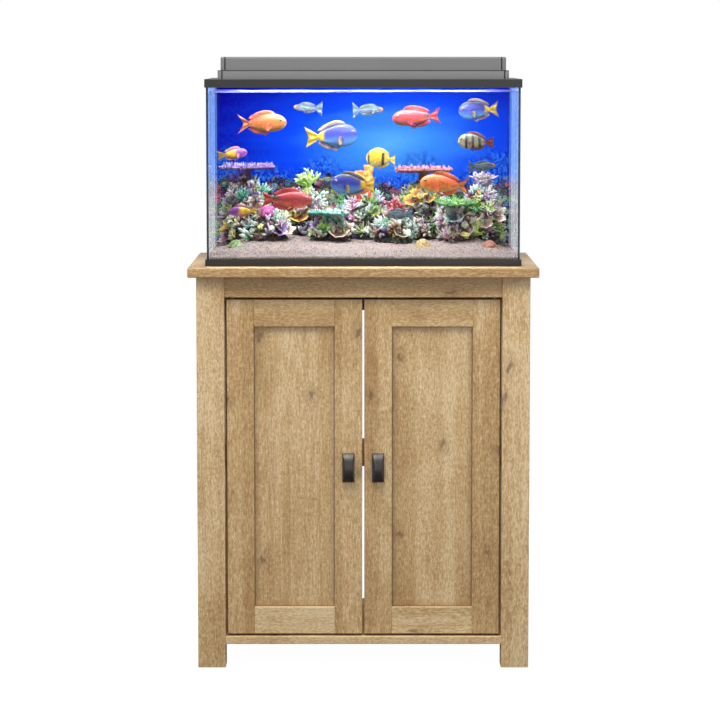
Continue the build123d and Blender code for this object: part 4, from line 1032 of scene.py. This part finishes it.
def rock_paint(points, normals, push):
    tint = blend(NIGHT, RUST, 0.3 + 0.7 * crag(points, 0.05, 3.3, 3))
    # Pale cream patches, stronger on upward faces: painted light from the lamp above
    tint = blend(tint, CREAM, (crag(points, 0.016, 7.7, 4) - 0.02) * 3 * (normals[:, 2] + 0.5))
    for colour, size, seed, level in ROCK_PATCHES:
        tint = blend(tint, colour, (crag(points, size, seed, 3) - level) * 5)
    # Painted shade: darker in the dents and near the gravel
    tint = blend(tint, NIGHT, (-push / ROCK_CRAG - 0.02) * 2.2)
    return blend(tint, NIGHT, 0.9 - (points[:, 2] - bank(points[:, 0], points[:, 1])) / 0.03)


def brain_groove(points):
    return np.clip(np.abs(crag(points, 0.0105, 6.6, 2)) * 5.5, 0, 1)


def brain_shape(points, normals):
    return 0.0024 * (brain_groove(points) - 0.9)


def brain_paint(points, normals, push):
    ridge, groove = pair_of(BRAIN_TINTS, nearest(points, brain_boxes))
    return blend(groove, ridge, brain_groove(points))


def table_place(points):
    """Which table each point is on, how far out it lies, from 0 to 1, and its turn round the middle."""
    which = nearest(points, table_boxes)
    middles = np.array([(low + high) / 2 for low, high in table_boxes])[which]
    reach = np.array([(high - low)[0] / 2 for low, high in table_boxes])[which]
    aside = points[:, :2] - middles[:, :2]
    return which, np.linalg.norm(aside, axis=1) / reach, np.arctan2(aside[:, 1], aside[:, 0])


def table_shape(points, normals):
    which, out, turn = table_place(points)
    ridges = np.sin(26 * turn + 5 * crag(points, 0.03, 2.2, 2)) * np.clip(out - 0.3, 0, 1)
    knobs = np.clip(crag(points, 0.006, 8.1, 2), 0, 1) * (normals[:, 2] > 0.3)
    ragged = 1 + np.sin(7 * turn + which) + 0.9 * np.sin(17 * turn + 3 * which) + 0.7 * np.sin(31 * turn)
    edge = -0.016 * np.clip(out - TABLE_RIM, 0, 0.3) * np.clip(ragged, 0, 3)
    return 0.0011 * ridges + 0.0042 * knobs + edge


def table_paint(points, normals, push):
    which, out, _ = table_place(points)
    base, edge = pair_of(TABLE_TINTS, which)
    return blend(base, edge, (out - TABLE_RIM) * 4 + push * 160)


def sponge_shape(points, normals):
    return 0.0030 * crag(points, 0.008, 5.5, 3)


def sponge_paint(points, normals, push):
    low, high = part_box("tube_sponges")
    rise = (points[:, 2] - low.z) / (high.z - low.z)
    return blend(blend(CORAL_RED, ORANGE, rise * 1.6), YELLOW, push * 180 + rise * 0.5 - 0.25)


rough_coral = living("rough_coral", 620, 0.0011)
rock_skin = living("rock_skin", 260, 0.0022, 0.7, wet=0.1)
porous = living("porous_sponge", 430, 0.0016, 0.7, pits=True, wet=0.1)
rock_points, rock_normals = skinned(
    "reef_rocks", "rough_rocks", ROCK_VOXEL, 2, rock_shape, rock_paint, rock_skin, "rock"
)
skinned(
    "brain_corals", "grooved_corals", CORAL_VOXEL, 14, brain_shape, brain_paint, rough_coral, "brain_coral"
)
table_points, table_normals = skinned(
    "table_corals", "plate_corals", CORAL_VOXEL, 2, table_shape, table_paint, rough_coral, "table_coral"
)
skinned("tube_sponges", "pipe_sponges", CORAL_VOXEL, 3, sponge_shape, sponge_paint, porous, "sponge")


# Reef: growths on the rocks


def fork(growth, root, heading, length, radius, depth, tint, tip, flat=0.0):
    """A limb that bends a little and forks again at its end."""
    bend = rng.normal(0, 0.22, 3) * (1, 1 - flat, 1)
    steps = np.linspace(0, 1, 5)[:, None]
    path = root + length * (steps * heading + 0.5 * steps**2 * bend)
    last = depth == 0
    radii = radius * np.array((1.0, 0.92, 0.86, 0.80, 0.30 if last else 0.74))
    shade = np.linspace(0, 1, 5) ** 2 if last else np.zeros(5)
    growth.add(tube(path, radii), blend(tint, tip, shade)[:, None])
    if last:
        return
    for _ in range(rng.integers(2, 4)):
        lean = rng.normal(0, 0.62, 3) * (1, 1 - 0.85 * flat, 0.7)
        start = path[rng.integers(2, 5)]
        reach = length * rng.uniform(0.6, 0.85)
        fork(growth, start, unit(heading + lean), reach, radius * 0.74, depth - 1, tint, tip, flat)


def fingers(growth, root, up, size, tint, tip):
    """A clump of blunt upright fingers."""
    steps = np.linspace(-0.2, 1, 7)
    for _ in range(rng.integers(7, 14)):
        heading = unit(up + rng.normal(0, 0.55, 3))
        length = size * rng.uniform(0.55, 1.1)
        path = root + steps[:, None] * heading * length + rng.normal(0, size * 0.10, 3)
        radii = size * 0.13 * np.array((0.9, 0.9, 0.95, 1.0, 1.08, 0.95, 0.35))
        growth.add(tube(path, radii, 7), blend(tint, tip, (steps - 0.4) * 1.8)[:, None])


def ruffle(growth, root, up, size, tint, edge):
    """A leafy cup with a waved edge: a thin closed section swept round its stalk."""
    out = np.linspace(0.10, 1, 9)
    phase = rng.uniform(0, 6)
    side = unit(np.cross(up, (0.3, 1.0, 0.2)))
    ahead = np.cross(side, up)
    rings = []
    for turn in circle(56):
        wave = 0.16 * np.sin(5 * turn + phase) + 0.10 * np.sin(9 * turn + 2 * phase)
        reach = out * (1 + 0.5 * wave)
        rise = 0.55 * out**1.6 + wave * out**2
        thick = 0.055 * (1.15 - out)
        upper = np.stack([reach, rise + thick], 1)
        lower = np.stack([reach, rise - thick], 1)[::-1]
        section = np.concatenate([upper, lower]) * size
        away = cos(turn) * side + sin(turn) * ahead
        rings.append(root + section[:, :1] * away + section[:, 1:] * up)
    share = np.concatenate([out, out[::-1]]) ** 4
    growth.add(rings, blend(tint, edge, share)[None], loop=True)


def anemone(growth, root, up, size, tint, tip):
    """A soft mound of waving arms."""
    growth.add(blob(root, (size * 0.42, size * 0.42, size * 0.3)), tint)
    sway = rng.normal(0, 0.35, 3)
    steps = np.linspace(0, 1, 5)[:, None]
    for _ in range(rng.integers(34, 52)):
        heading = unit(up * rng.uniform(0.35, 1.0) + rng.normal(0, 0.55, 3))
        length = size * rng.uniform(0.55, 0.95)
        path = root + heading * size * 0.25 + length * (steps * heading + 0.35 * steps**2 * sway)
        radii = size * 0.045 * np.array((1.1, 1.0, 0.9, 0.85, 0.5))
        growth.add(tube(path, radii, 5), blend(tint, tip, steps[:, 0] ** 2)[:, None])


def bubbles(growth, root, up, size, tint, tip):
    """A tight cluster of round beads."""
    shade = blend(tint, tip, np.linspace(0, 1, 6))[:, None]
    for _ in range(rng.integers(14, 24)):
        heading = unit(up * 0.7 + rng.normal(0, 0.7, 3))
        radius = size * rng.uniform(0.13, 0.24)
        growth.add(blob(root + heading * size * 0.38, (radius,) * 3, 6, 8), shade)


def buttons(growth, root, up, size, tint, tip):
    """A mat of small round polyps with pale rims, lying on the rock."""
    near = np.flatnonzero(np.linalg.norm(rock_points - root, axis=1) < size)
    shade = blend(tint, tip, (0.0, 0.2, 0.9, 1.0, 0.6, 0.0))[:, None]
    for spot in rng.choice(near, min(len(near), POLYPS), replace=False):
        radius = size * rng.uniform(0.11, 0.19)
        middle = rock_points[spot] + rock_normals[spot] * radius * 0.3
        growth.add(blob(middle, (radius, radius, radius * 0.6), 6, 7), shade)


def fan(growth, root, up, size, tint, tip):
    """A flat lacy fan that faces the front."""
    for lean in np.linspace(-0.8, 0.8, 5):
        heading = unit((sin(lean), 0.05, cos(lean)))
        fork(growth, root - up * GROWTH_ROOT, heading, size, 0.0017, 3, tint, tip, 1.0)


def bush(growth, root, up, size, tint, tip):
    """A small bush of forked limbs."""
    for _ in range(3):
        heading = unit(up + rng.normal(0, 0.4, 3))
        fork(growth, root - up * GROWTH_ROOT, heading, size, 0.0021, 2, tint, tip)


def sites():
    """Spread points on the upper and front faces of the rocks, clear of the gravel and the panes."""
    x, y, z = rock_points.T
    open_side = (rock_normals[:, 2] > -0.05) & (rock_normals[:, 1] < 0.35)
    clear = (np.abs(x) < pane_x - GROWTH_MARGIN) & (np.abs(y) < pane_y - GROWTH_MARGIN)
    found = []
    for spot in rng.permutation(np.flatnonzero(open_side & clear & (z > bank(x, y) + GROWTH_LIFT))):
        aside = np.linalg.norm(rock_points[found] - rock_points[spot], axis=1)
        if not found or aside.min() > GROWTH_APART:
            found.append(spot)
        if len(found) == GROWTH_COUNT:
            break
    return found


def shaded(growth, first, root, up, size):
    """Paint shade on what was added since a mark: dark at its root, where shade falls, and painted light up
    to pale at its tips.
    """
    for number in range(first, len(growth.tints)):
        rise = (growth.points[number] - root) @ up / size
        shade = np.clip(0.08 + 2.8 * rise, 0.04, 1.6)
        growth.tints[number] = np.minimum(growth.tints[number] * shade[:, None], PALEST)


soft_arm = living("soft_arm", 700, 0.0003, 0.35, wet=0.5)
leaf_coral = living("leaf_coral", 480, 0.0007, 0.5)
bubble_coral = living("bubble_coral", 300, 0.0003, 0.25, wet=0.6)
polyp = living("polyp", 800, 0.0004, 0.4, wet=0.4)
FINGER_TINTS = (
    (PINK, ROSE), (PURPLE, LILAC), (RUST, CREAM), (TEAL, CREAM), (ROSE, CREAM), (MINT, CREAM), (LILAC, CREAM)
)
ARM_TINTS = ((LEAF, LIME), (LIME, CREAM), (ROSE, CREAM), (TEAL, MINT), (MINT, CREAM))
RUFFLE_TINTS = ((ORANGE, YELLOW), (PINK, CREAM), (PURPLE, LILAC), (RUST, CREAM), (TEAL, CREAM))
BUBBLE_TINTS = ((TEAL, CREAM), (CREAM, CREAM), (LILAC, CREAM), (LIME, YELLOW), (MINT, CREAM))
BUTTON_TINTS = ((YELLOW, LIME), (PINK, YELLOW), (TEAL, LILAC), (CORAL_RED, ORANGE))
BUSH_TINTS = ((LILAC, CREAM), (YELLOW, CREAM), (MINT, CREAM), (LIME, CREAM), (TEAL, CREAM), (ROSE, CREAM))
FAN_TINTS = ((LIME, YELLOW), (PURPLE, ROSE), (LEAF, LIME))

# Growths: their maker, share of all, size, pairs of tints for body and tip, and skin
GROWTHS = {
    "fingers": (fingers, 0.25, 0.019, FINGER_TINTS, rough_coral),
    "anemone": (anemone, 0.12, 0.022, ARM_TINTS, soft_arm),
    "ruffle": (ruffle, 0.08, 0.019, RUFFLE_TINTS, leaf_coral),
    "bubbles": (bubbles, 0.11, 0.017, BUBBLE_TINTS, bubble_coral),
    "buttons": (buttons, 0.13, 0.016, BUTTON_TINTS, polyp),
    "bush": (bush, 0.27, 0.012, BUSH_TINTS, rough_coral),
    "fan": (fan, 0.04, 0.015, FAN_TINTS, rough_coral),
}
kinds = list(GROWTHS)
shares = [GROWTHS[kind][1] for kind in kinds]
growths = {kind: Growth() for kind in kinds}
for spot in sites():
    kind = kinds[rng.choice(len(kinds), p=shares)]
    maker, _, size, pairs, _ = GROWTHS[kind]
    tint, tip = pairs[rng.integers(len(pairs))]
    up = unit(rock_normals[spot] + (0, 0, UPWARD))
    size = size * rng.uniform(0.75, 1.25)
    first = len(growths[kind].tints)
    maker(growths[kind], rock_points[spot], up, size, tint, tip)
    shaded(growths[kind], first, rock_points[spot], up, size)

# Short tufts on the plates
tufts = Growth()
steps = np.linspace(-0.3, 1, 4)
for spot in rng.choice(np.flatnonzero(table_normals[:, 2] > 0.55), TUFTS, replace=False):
    body, edge = pair_of(TABLE_TINTS, nearest(table_points[spot][None], table_boxes)[0])
    heading = unit(table_normals[spot] + rng.normal(0, 0.35, 3))
    path = table_points[spot] + steps[:, None] * heading * rng.uniform(*TUFT_LENGTH)
    radii = TUFT_RADIUS * np.array((1.1, 1.0, 0.9, 0.4))
    tufts.add(tube(path, radii, 5), blend(body, edge, steps * 1.4)[:, None])
tufts.piece("plate_tufts", rough_coral)

# Branching corals in place of the CAD ones
branching = Growth()
for number, (low, high) in enumerate(solids("branch_corals")):
    middle = (low + high) / 2
    tall = high[2] - low[2]
    root = np.array((middle[0], middle[1], low[2] - 0.003))
    tint, tip = BRANCH_TINTS[number % len(BRANCH_TINTS)]
    branching.add(tube([root, root + (0, 0, 0.3 * tall)], (0.012, 0.007), 9), tint)
    for limb in range(LIMBS):
        turn = limb * GOLDEN_TURN
        lean = 0.16 + 0.48 * (limb / LIMBS)
        heading = np.array((cos(turn) * sin(lean), sin(turn) * sin(lean), cos(lean)))
        fork(branching, root + (0, 0, 0.16 * tall), heading, 0.37 * tall, 0.0042, 2, tint, tip)

for kind, growth in growths.items():
    growth.points = [inside(points) for points in growth.points]
    growth.piece(f"{kind}_growths", GROWTHS[kind][-1])
branching.points = [inside(points) for points in branching.points]
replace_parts(branching.piece("branching_corals", rough_coral, "branch_coral"), "branch_corals")


# Gravel and water


def slab(name, columns, rows, top, bottom, material, slot=None):
    """A closed slab between the panes, with a free top and a flat underside."""
    x, y = np.meshgrid(np.linspace(-pane_x, pane_x, columns), np.linspace(-pane_y, pane_y, rows))
    upper = line(x, y, top(x, y)).reshape(-1, 3)
    index = np.arange(columns * rows).reshape(rows, columns)
    quads = np.stack([index[:-1, :-1], index[:-1, 1:], index[1:, 1:], index[1:, :-1]], -1)
    edge = np.concatenate([index[0, :-1], index[:-1, -1], index[-1, :0:-1], index[:0:-1, 0]])
    under = upper[edge].copy()
    under[:, 2] = bottom
    below = np.arange(len(edge)) + len(upper)
    walls = np.stack([edge, below, np.roll(below, -1), np.roll(edge, -1)], -1)
    faces = quads.reshape(-1, 4).tolist() + walls.tolist() + [below[::-1].tolist()]
    growth = Growth()
    points = np.concatenate([upper, under])
    growth.mesh(points, faces, np.ones((len(points), 3)))
    return growth.piece(name, material, slot)


def gravel_top(x, y):
    flat = line(x, y, 0).reshape(-1, 3)
    humps = 0.0016 * crag(flat, 0.05, 2.5, 3) + 0.0007 * crag(flat, 0.009, 8.5, 2)
    return bank(x, y) + humps.reshape(x.shape)


def waves(x, y):
    swell = np.sin(46 * x + 21 * y) + 0.7 * np.sin(-31 * x + 58 * y + 1.3)
    swell += 0.5 * np.sin(97 * x + 8 * y + 0.4)
    return WATER_LEVEL + WATER_THICKNESS + WAVE_HEIGHT * swell


grains = gravel_skin("gravel_grains")
gravel = slab("loose_gravel", GRAVEL_COLUMNS, GRAVEL_ROWS, gravel_top, floor_z + PANE_GAP, grains, "gravel")
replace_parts(gravel, "gravel_bed")
pebbles = Growth()
pebble_x = rng.uniform(-pane_x + PEBBLE_MARGIN, pane_x - PEBBLE_MARGIN, PEBBLES)
pebble_y = rng.uniform(-pane_y + PEBBLE_MARGIN, pane_y - PEBBLE_MARGIN, PEBBLES)
for centre in line(pebble_x, pebble_y, gravel_top(pebble_x, pebble_y)):
    radius = rng.uniform(*PEBBLE_RADIUS)
    grain = blob(centre, radius * rng.uniform(0.7, 1.2, 3) * (1, 1, 0.8), 4, 5)
    grain = grain + rng.normal(0, radius * 0.10, grain.shape)
    pebbles.add(grain, PEBBLE_TINTS[rng.integers(len(PEBBLE_TINTS))])
pebbles.piece("gravel_grains", pebble_skin("pebbles"), "gravel")
slab("water_surface", WATER_COLUMNS, WATER_ROWS, waves, WATER_LEVEL - WATER_THICKNESS, water("water"))


# Fish


def soft_body(u, lift, front, blunt, root):
    """Half height of a body along its length, from the nose at 0 to the tail root at 1."""
    return lift * np.sin(pi * u**front) ** blunt + root * u


def paint_reef_blue(u, v):
    tint = blend(srgb(20, 50, 190), srgb(120, 190, 255), step(-v, -0.2, 0.9))
    tint = blend(tint, srgb(12, 16, 50), step(v, 0.62, 0.8) * step(u, 0.12, 0.25))
    return blend(tint, srgb(252, 212, 40), step(u, 0.80, 0.90))


def paint_orange(u, v):
    tint = blend(srgb(255, 140, 36), srgb(255, 206, 120), step(-v, 0.1, 0.9))
    return blend(tint, srgb(226, 66, 60), step(v, 0.2, 0.9) * step(u, 0.35, 0.9) * 0.8)


def paint_red(u, v):
    tint = blend(srgb(196, 36, 40), srgb(255, 150, 120), step(-v, -0.1, 0.9))
    return blend(tint, srgb(84, 20, 40), step(u, 0.70, 0.95) * step(v, -0.6, 0.4))


def paint_banded(u, v):
    tint = blend(srgb(150, 146, 116), srgb(232, 214, 150), step(-v, -0.1, 0.8))
    return blend(tint, srgb(40, 36, 34), step(np.sin(u * 26 + 0.5 * v), 0.15, 0.55) * step(u, 0.16, 0.24))


def paint_yellow(u, v):
    tint = blend(srgb(255, 214, 30), srgb(255, 240, 170), step(-v, 0.0, 0.9))
    head_bar = step(-np.abs(u - 0.13 + 0.02 * v), -0.045, -0.028)
    tail_bar = step(-np.abs(u - 0.72), -0.07, -0.05)
    return blend(tint, srgb(24, 22, 30), np.maximum(head_bar, tail_bar))


def paint_silver(u, v):
    tint = blend(srgb(64, 80, 92), srgb(146, 156, 162), step(-v, -0.5, 0.5))
    tint = blend(tint, srgb(244, 170, 60), step(-u, -0.16, -0.04))
    return blend(tint, srgb(90, 200, 220), step(-np.abs(v - 0.15), -0.14, -0.05) * step(u, 0.25, 0.4))


def paint_two_tone(u, v):
    tint = blend(srgb(150, 50, 170), srgb(214, 120, 220), step(-v, 0.0, 0.9))
    return blend(tint, GOLD, step(u, 0.42, 0.62))


# Kinds of fish: back, belly, half width, tail height and fork as shares, fin tint, tail tint, paint
FISH = {
    "reef_blue": (0.21, 0.20, 0.075, 0.20, 0.25, srgb(16, 40, 160), srgb(252, 212, 40), paint_reef_blue),
    "orange": (0.17, 0.16, 0.085, 0.20, 0.55, srgb(244, 104, 60), srgb(255, 150, 50), paint_orange),
    "red": (0.155, 0.145, 0.085, 0.17, 0.35, srgb(206, 40, 46), srgb(228, 60, 56), paint_red),
    "banded": (0.20, 0.19, 0.085, 0.17, 0.05, srgb(92, 84, 66), srgb(180, 60, 50), paint_banded),
    "yellow": (0.27, 0.26, 0.065, 0.17, 0.08, srgb(255, 206, 30), srgb(255, 232, 120), paint_yellow),
    "silver": (0.10, 0.115, 0.065, 0.27, 0.02, srgb(104, 126, 138), srgb(116, 142, 160), paint_silver),
    "two_tone": (0.15, 0.14, 0.080, 0.15, 0.20, srgb(190, 90, 190), GOLD, paint_two_tone),
}


def fin(growth, base, tip, tint, edge, shape):
    """A thin closed fin between its root line and its outer line, with ribs along its rays."""
    rise = np.linspace(0, 1, FIN_ROWS)
    sheet = base[:, None] * (1 - rise[:, None]) + tip[:, None] * rise[:, None]
    ribs = 0.6 + 0.4 * np.cos(np.arange(len(base)) * pi)[:, None]
    aside = line(0, FIN_THICKNESS * ribs * (1.06 - rise), 0)
    loop = np.concatenate([sheet + aside, (sheet - aside)[:, ::-1]], axis=1)
    share = np.concatenate([rise, rise[::-1]])
    growth.add(shape(loop), blend(tint, edge, share**2)[None] * (0.72 + 0.28 * ribs[:, :, None]))


def swimmer(growth, kind, place, length, heading, pitch, sway):
    """One fish: a body, two eyes and its fins, bent a little as it swims."""
    back, belly, half_width, tail_high, notch, fin_tint, tail_tint, paint = FISH[kind]
    turn = np.array(Matrix.Rotation(radians(heading), 3, "Z") @ Matrix.Rotation(radians(-pitch), 3, "Y"))

    def shape(points):
        """Points of a straight fish of length one, bent, turned and put in its place."""
        along = np.clip(0.5 - points[..., 0], 0, 1.2)
        bent = points.copy()
        bent[..., 1] += sway * np.sin(3.4 * along) * along**2
        return np.asarray(place) + length * (bent @ turn.T)

    def upper(u):
        return soft_body(u, back, *BODY_CURVE)

    def lower(u):
        return soft_body(u, belly, *BODY_CURVE)

    def wide(u):
        return soft_body(u, half_width, *WIDTH_CURVE)

    def x_of(u):
        return 0.5 - BODY_LENGTH * u

    u = np.linspace(0.004, 1, FISH_ROWS)[:, None] ** 1.25
    around = circle(FISH_SIDES)[None]
    side = np.sin(around)
    up = np.cos(around)
    z = np.where(up > 0, upper(u), lower(u)) * up
    body = line(x_of(u), wide(u) * np.sign(side) * np.abs(side) ** 0.9, z)
    growth.add(shape(body), paint(*np.broadcast_arrays(u, up)))

    span = np.linspace(-1, 1, 13)
    for hand in (-1, 1):
        centre = np.array((x_of(EYE_PLACE), hand * wide(EYE_PLACE) * 0.86, 0.33 * back))
        ball = blob((0, 0, 0), (EYE_RADIUS, EYE_RADIUS, EYE_RADIUS * EYE_FLAT), 9, 14)[..., (0, 2, 1)]
        out = hand * ball[..., 1] / (EYE_RADIUS * EYE_FLAT)
        tints = blend(blend(PUPIL, IRIS, step(-out, -0.88, -0.80)), EYE_RIM, step(-out, -0.60, -0.45))
        growth.add(shape(centre + ball), tints)
        root = line(x_of(0.36), hand * half_width * 0.9, -0.25 * belly + 0.035 * span)
        tip = root + line(-0.13 + 0.03 * span**2, hand * 0.075, -0.05 + 0.055 * span)
        fin(growth, root, tip, fin_tint, tail_tint, shape)

    # Fins along the back and the belly
    span = np.linspace(0, 1, FIN_COLUMNS)
    spines = 1 + 0.05 * np.cos(np.arange(FIN_COLUMNS) * pi)
    for sign, edge, first, last, tall in ((1, upper, 0.26, 0.90, 0.085), (-1, lower, 0.56, 0.90, 0.075)):
        at = first + (last - first) * span
        crest = tall * (np.sin(pi * span**0.75) ** 0.6 + 0.25 * span) * spines
        root = line(x_of(at), 0, sign * edge(at) * 0.93)
        tip = line(x_of(at) - 0.06 * span - 0.02, 0.01 * np.sin(9 * span), sign * (edge(at) * 0.93 + crest))
        fin(growth, root, tip, fin_tint, tail_tint, shape)

    # The tail and the fin under the chest
    across = np.linspace(-1, 1, FIN_COLUMNS)
    back_x = x_of(1) - 0.23 * (1 - notch * (1 - np.abs(across) ** 1.3))
    tip = line(back_x, 0.012 * np.sin(7 * across), tail_high * across)
    fin(growth, line(x_of(0.97), 0, 0.038 * across), tip, tail_tint, tail_tint, shape)
    span = np.linspace(0, 1, 9)
    at = 0.40 + 0.06 * span
    root = line(x_of(at), 0, -0.92 * lower(at))
    tip = root + line(-0.10 - 0.04 * span, 0, -0.09 * np.sin(pi * (0.25 + 0.6 * span)))
    fin(growth, root, tip, fin_tint, tail_tint, shape)


fish_skin = living("fish_skin", 1100, 0.00016, 0.42, wet=0.15)
for number, (kind, place, length, heading, pitch) in enumerate(SHOAL):
    growth = Growth()
    swimmer(growth, kind, place, length, heading, pitch, 0.22 * sin(2.1 * number))
    # Painted shade: fish near the lamp darker, against its strong light
    depth = np.interp(place[2], NEAR_LAMP, LAMP_SHADE)
    growth.tints = [depth * tints**DEEPEN for tints in growth.tints]
    growth.piece(f"fish_{number + 1}_{kind}", fish_skin)


# Seals: the joints between the panes, and a cushion under the lid's front and ends


def strip(growth, path, half, up):
    """A thin rounded strip along a path, its wide side square to the way up."""
    aside = np.cross(np.gradient(path, axis=0), up)
    aside /= np.linalg.norm(aside, axis=1)[:, None]
    turn = circle(12)
    flat = np.sign(np.cos(turn)) * np.abs(np.cos(turn)) ** 0.4
    tall = np.sign(np.sin(turn)) * np.abs(np.sin(turn)) ** 0.7
    rings = path[:, None] + half[0] * aside[:, None] * flat[None, :, None]
    growth.add(rings + half[1] * np.asarray(up) * tall[None, :, None], NIGHT)


seals = Growth()
side_low, side_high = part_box("right_glass")
seal_z = np.linspace(floor_z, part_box("tank_top_frame")[0].z + SEAL_TUCK, SEAL_ROWS)
for hand in (-1, 1):
    for end in (side_low.y, side_high.y):
        across = hand * (side_low.x + side_high.x) / 2
        strip(seals, line(across, end, seal_z), SEAL_HALF, (0, 1, 0))
seals.piece("joint_seals", silicone_black)

cushion = Growth()
cap_low, cap_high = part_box("hood_lid_end_caps")
edge_x = cap_high.x - CUSHION_INSET
edge_y = cap_low.y + CUSHION_INSET
bend = np.linspace(0, pi / 2, 7)
corner_x = -edge_x + CUSHION_CORNER * (1 - np.cos(bend))
corner_y = edge_y + CUSHION_CORNER * (1 - np.sin(bend))
half = np.concatenate([[(-edge_x, CUSHION_REAR)], np.stack([corner_x, corner_y], 1)])
whole = np.concatenate([half, half[::-1] * (-1, 1)])
strip(cushion, line(*whole.T, (deck_top + cap_low.z) / 2), CUSHION_HALF, (0, 0, 1))
cushion.piece("lid_cushion", silicone_black)


# Studio: floor, light and camera


def area_light(name, place, aim, size, power, colour=(1, 1, 1)):
    """A soft rectangular light that the camera doesn't see."""
    data = bpy.data.lights.new(name, "AREA")
    data.shape = "RECTANGLE"
    data.size, data.size_y = size
    data.energy = power
    data.color = colour
    light = linked(name, data)
    light.location = place
    light.rotation_euler = (Vector(aim) - Vector(place)).to_track_quat("-Z", "Y").to_euler()
    light.visible_camera = False
    return light


half = FLOOR_SIZE / 2
mesh = bpy.data.meshes.new("floor")
mesh.from_pydata([(-half, -half, 0), (half, -half, 0), (half, half, 0), (-half, half, 0)], [], [(0, 1, 2, 3)])
mesh.materials.append(floor_paint("pale_floor"))
floor = linked("floor", mesh)
bpy.context.scene.world = studio_world("studio")
area_light("key", KEY_PLACE, KEY_AIM, SOFT_SIZE, KEY_POWER)
area_light("fill", FILL_PLACE, FILL_AIM, SOFT_SIZE, FILL_POWER)

lens_size = lens_high - lens_low
lamp_size = (LAMP_SHARE[0] * lens_size.x, LAMP_SHARE[1] * lens_size.y)
lamp_place = Vector((lens_middle.x, lens_middle.y, lens_low.z - LAMP_DROP))
lamp = area_light("lamp", lamp_place, lamp_place - Vector((0, 0, 1)), lamp_size, LAMP_POWER, LAMP_COLOUR)
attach(lamp, "lid")
front_row = Vector((0, lens_low.y + REEF_LIGHT_INSET, lens_low.z - LAMP_DROP))
row_size = (lamp_size[0], REEF_LIGHT_DEPTH)
reef_light = area_light("reef_light", front_row, REEF_LIGHT_AIM, row_size, REEF_LIGHT_POWER)
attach(reef_light, "lid")
spill = area_light("spill", SPILL_PLACE, SPILL_AIM, SPILL_SIZE, SPILL_POWER, SPILL_COLOUR)
spill.data.spread = radians(SPILL_SPREAD)
spill.visible_glossy = False

camera = bpy.data.cameras.new("camera")
camera.lens = CAMERA_LENS
camera.sensor_width = CAMERA_SENSOR
camera.shift_y = CAMERA_SHIFT
camera.clip_end = CAMERA_REACH
viewer = linked("camera", camera)
viewer.location = CAMERA_PLACE
viewer.rotation_euler = (radians(90 - CAMERA_PITCH), 0, 0)
bpy.context.scene.camera = viewer
bpy.context.scene.view_settings.view_transform = "Standard"
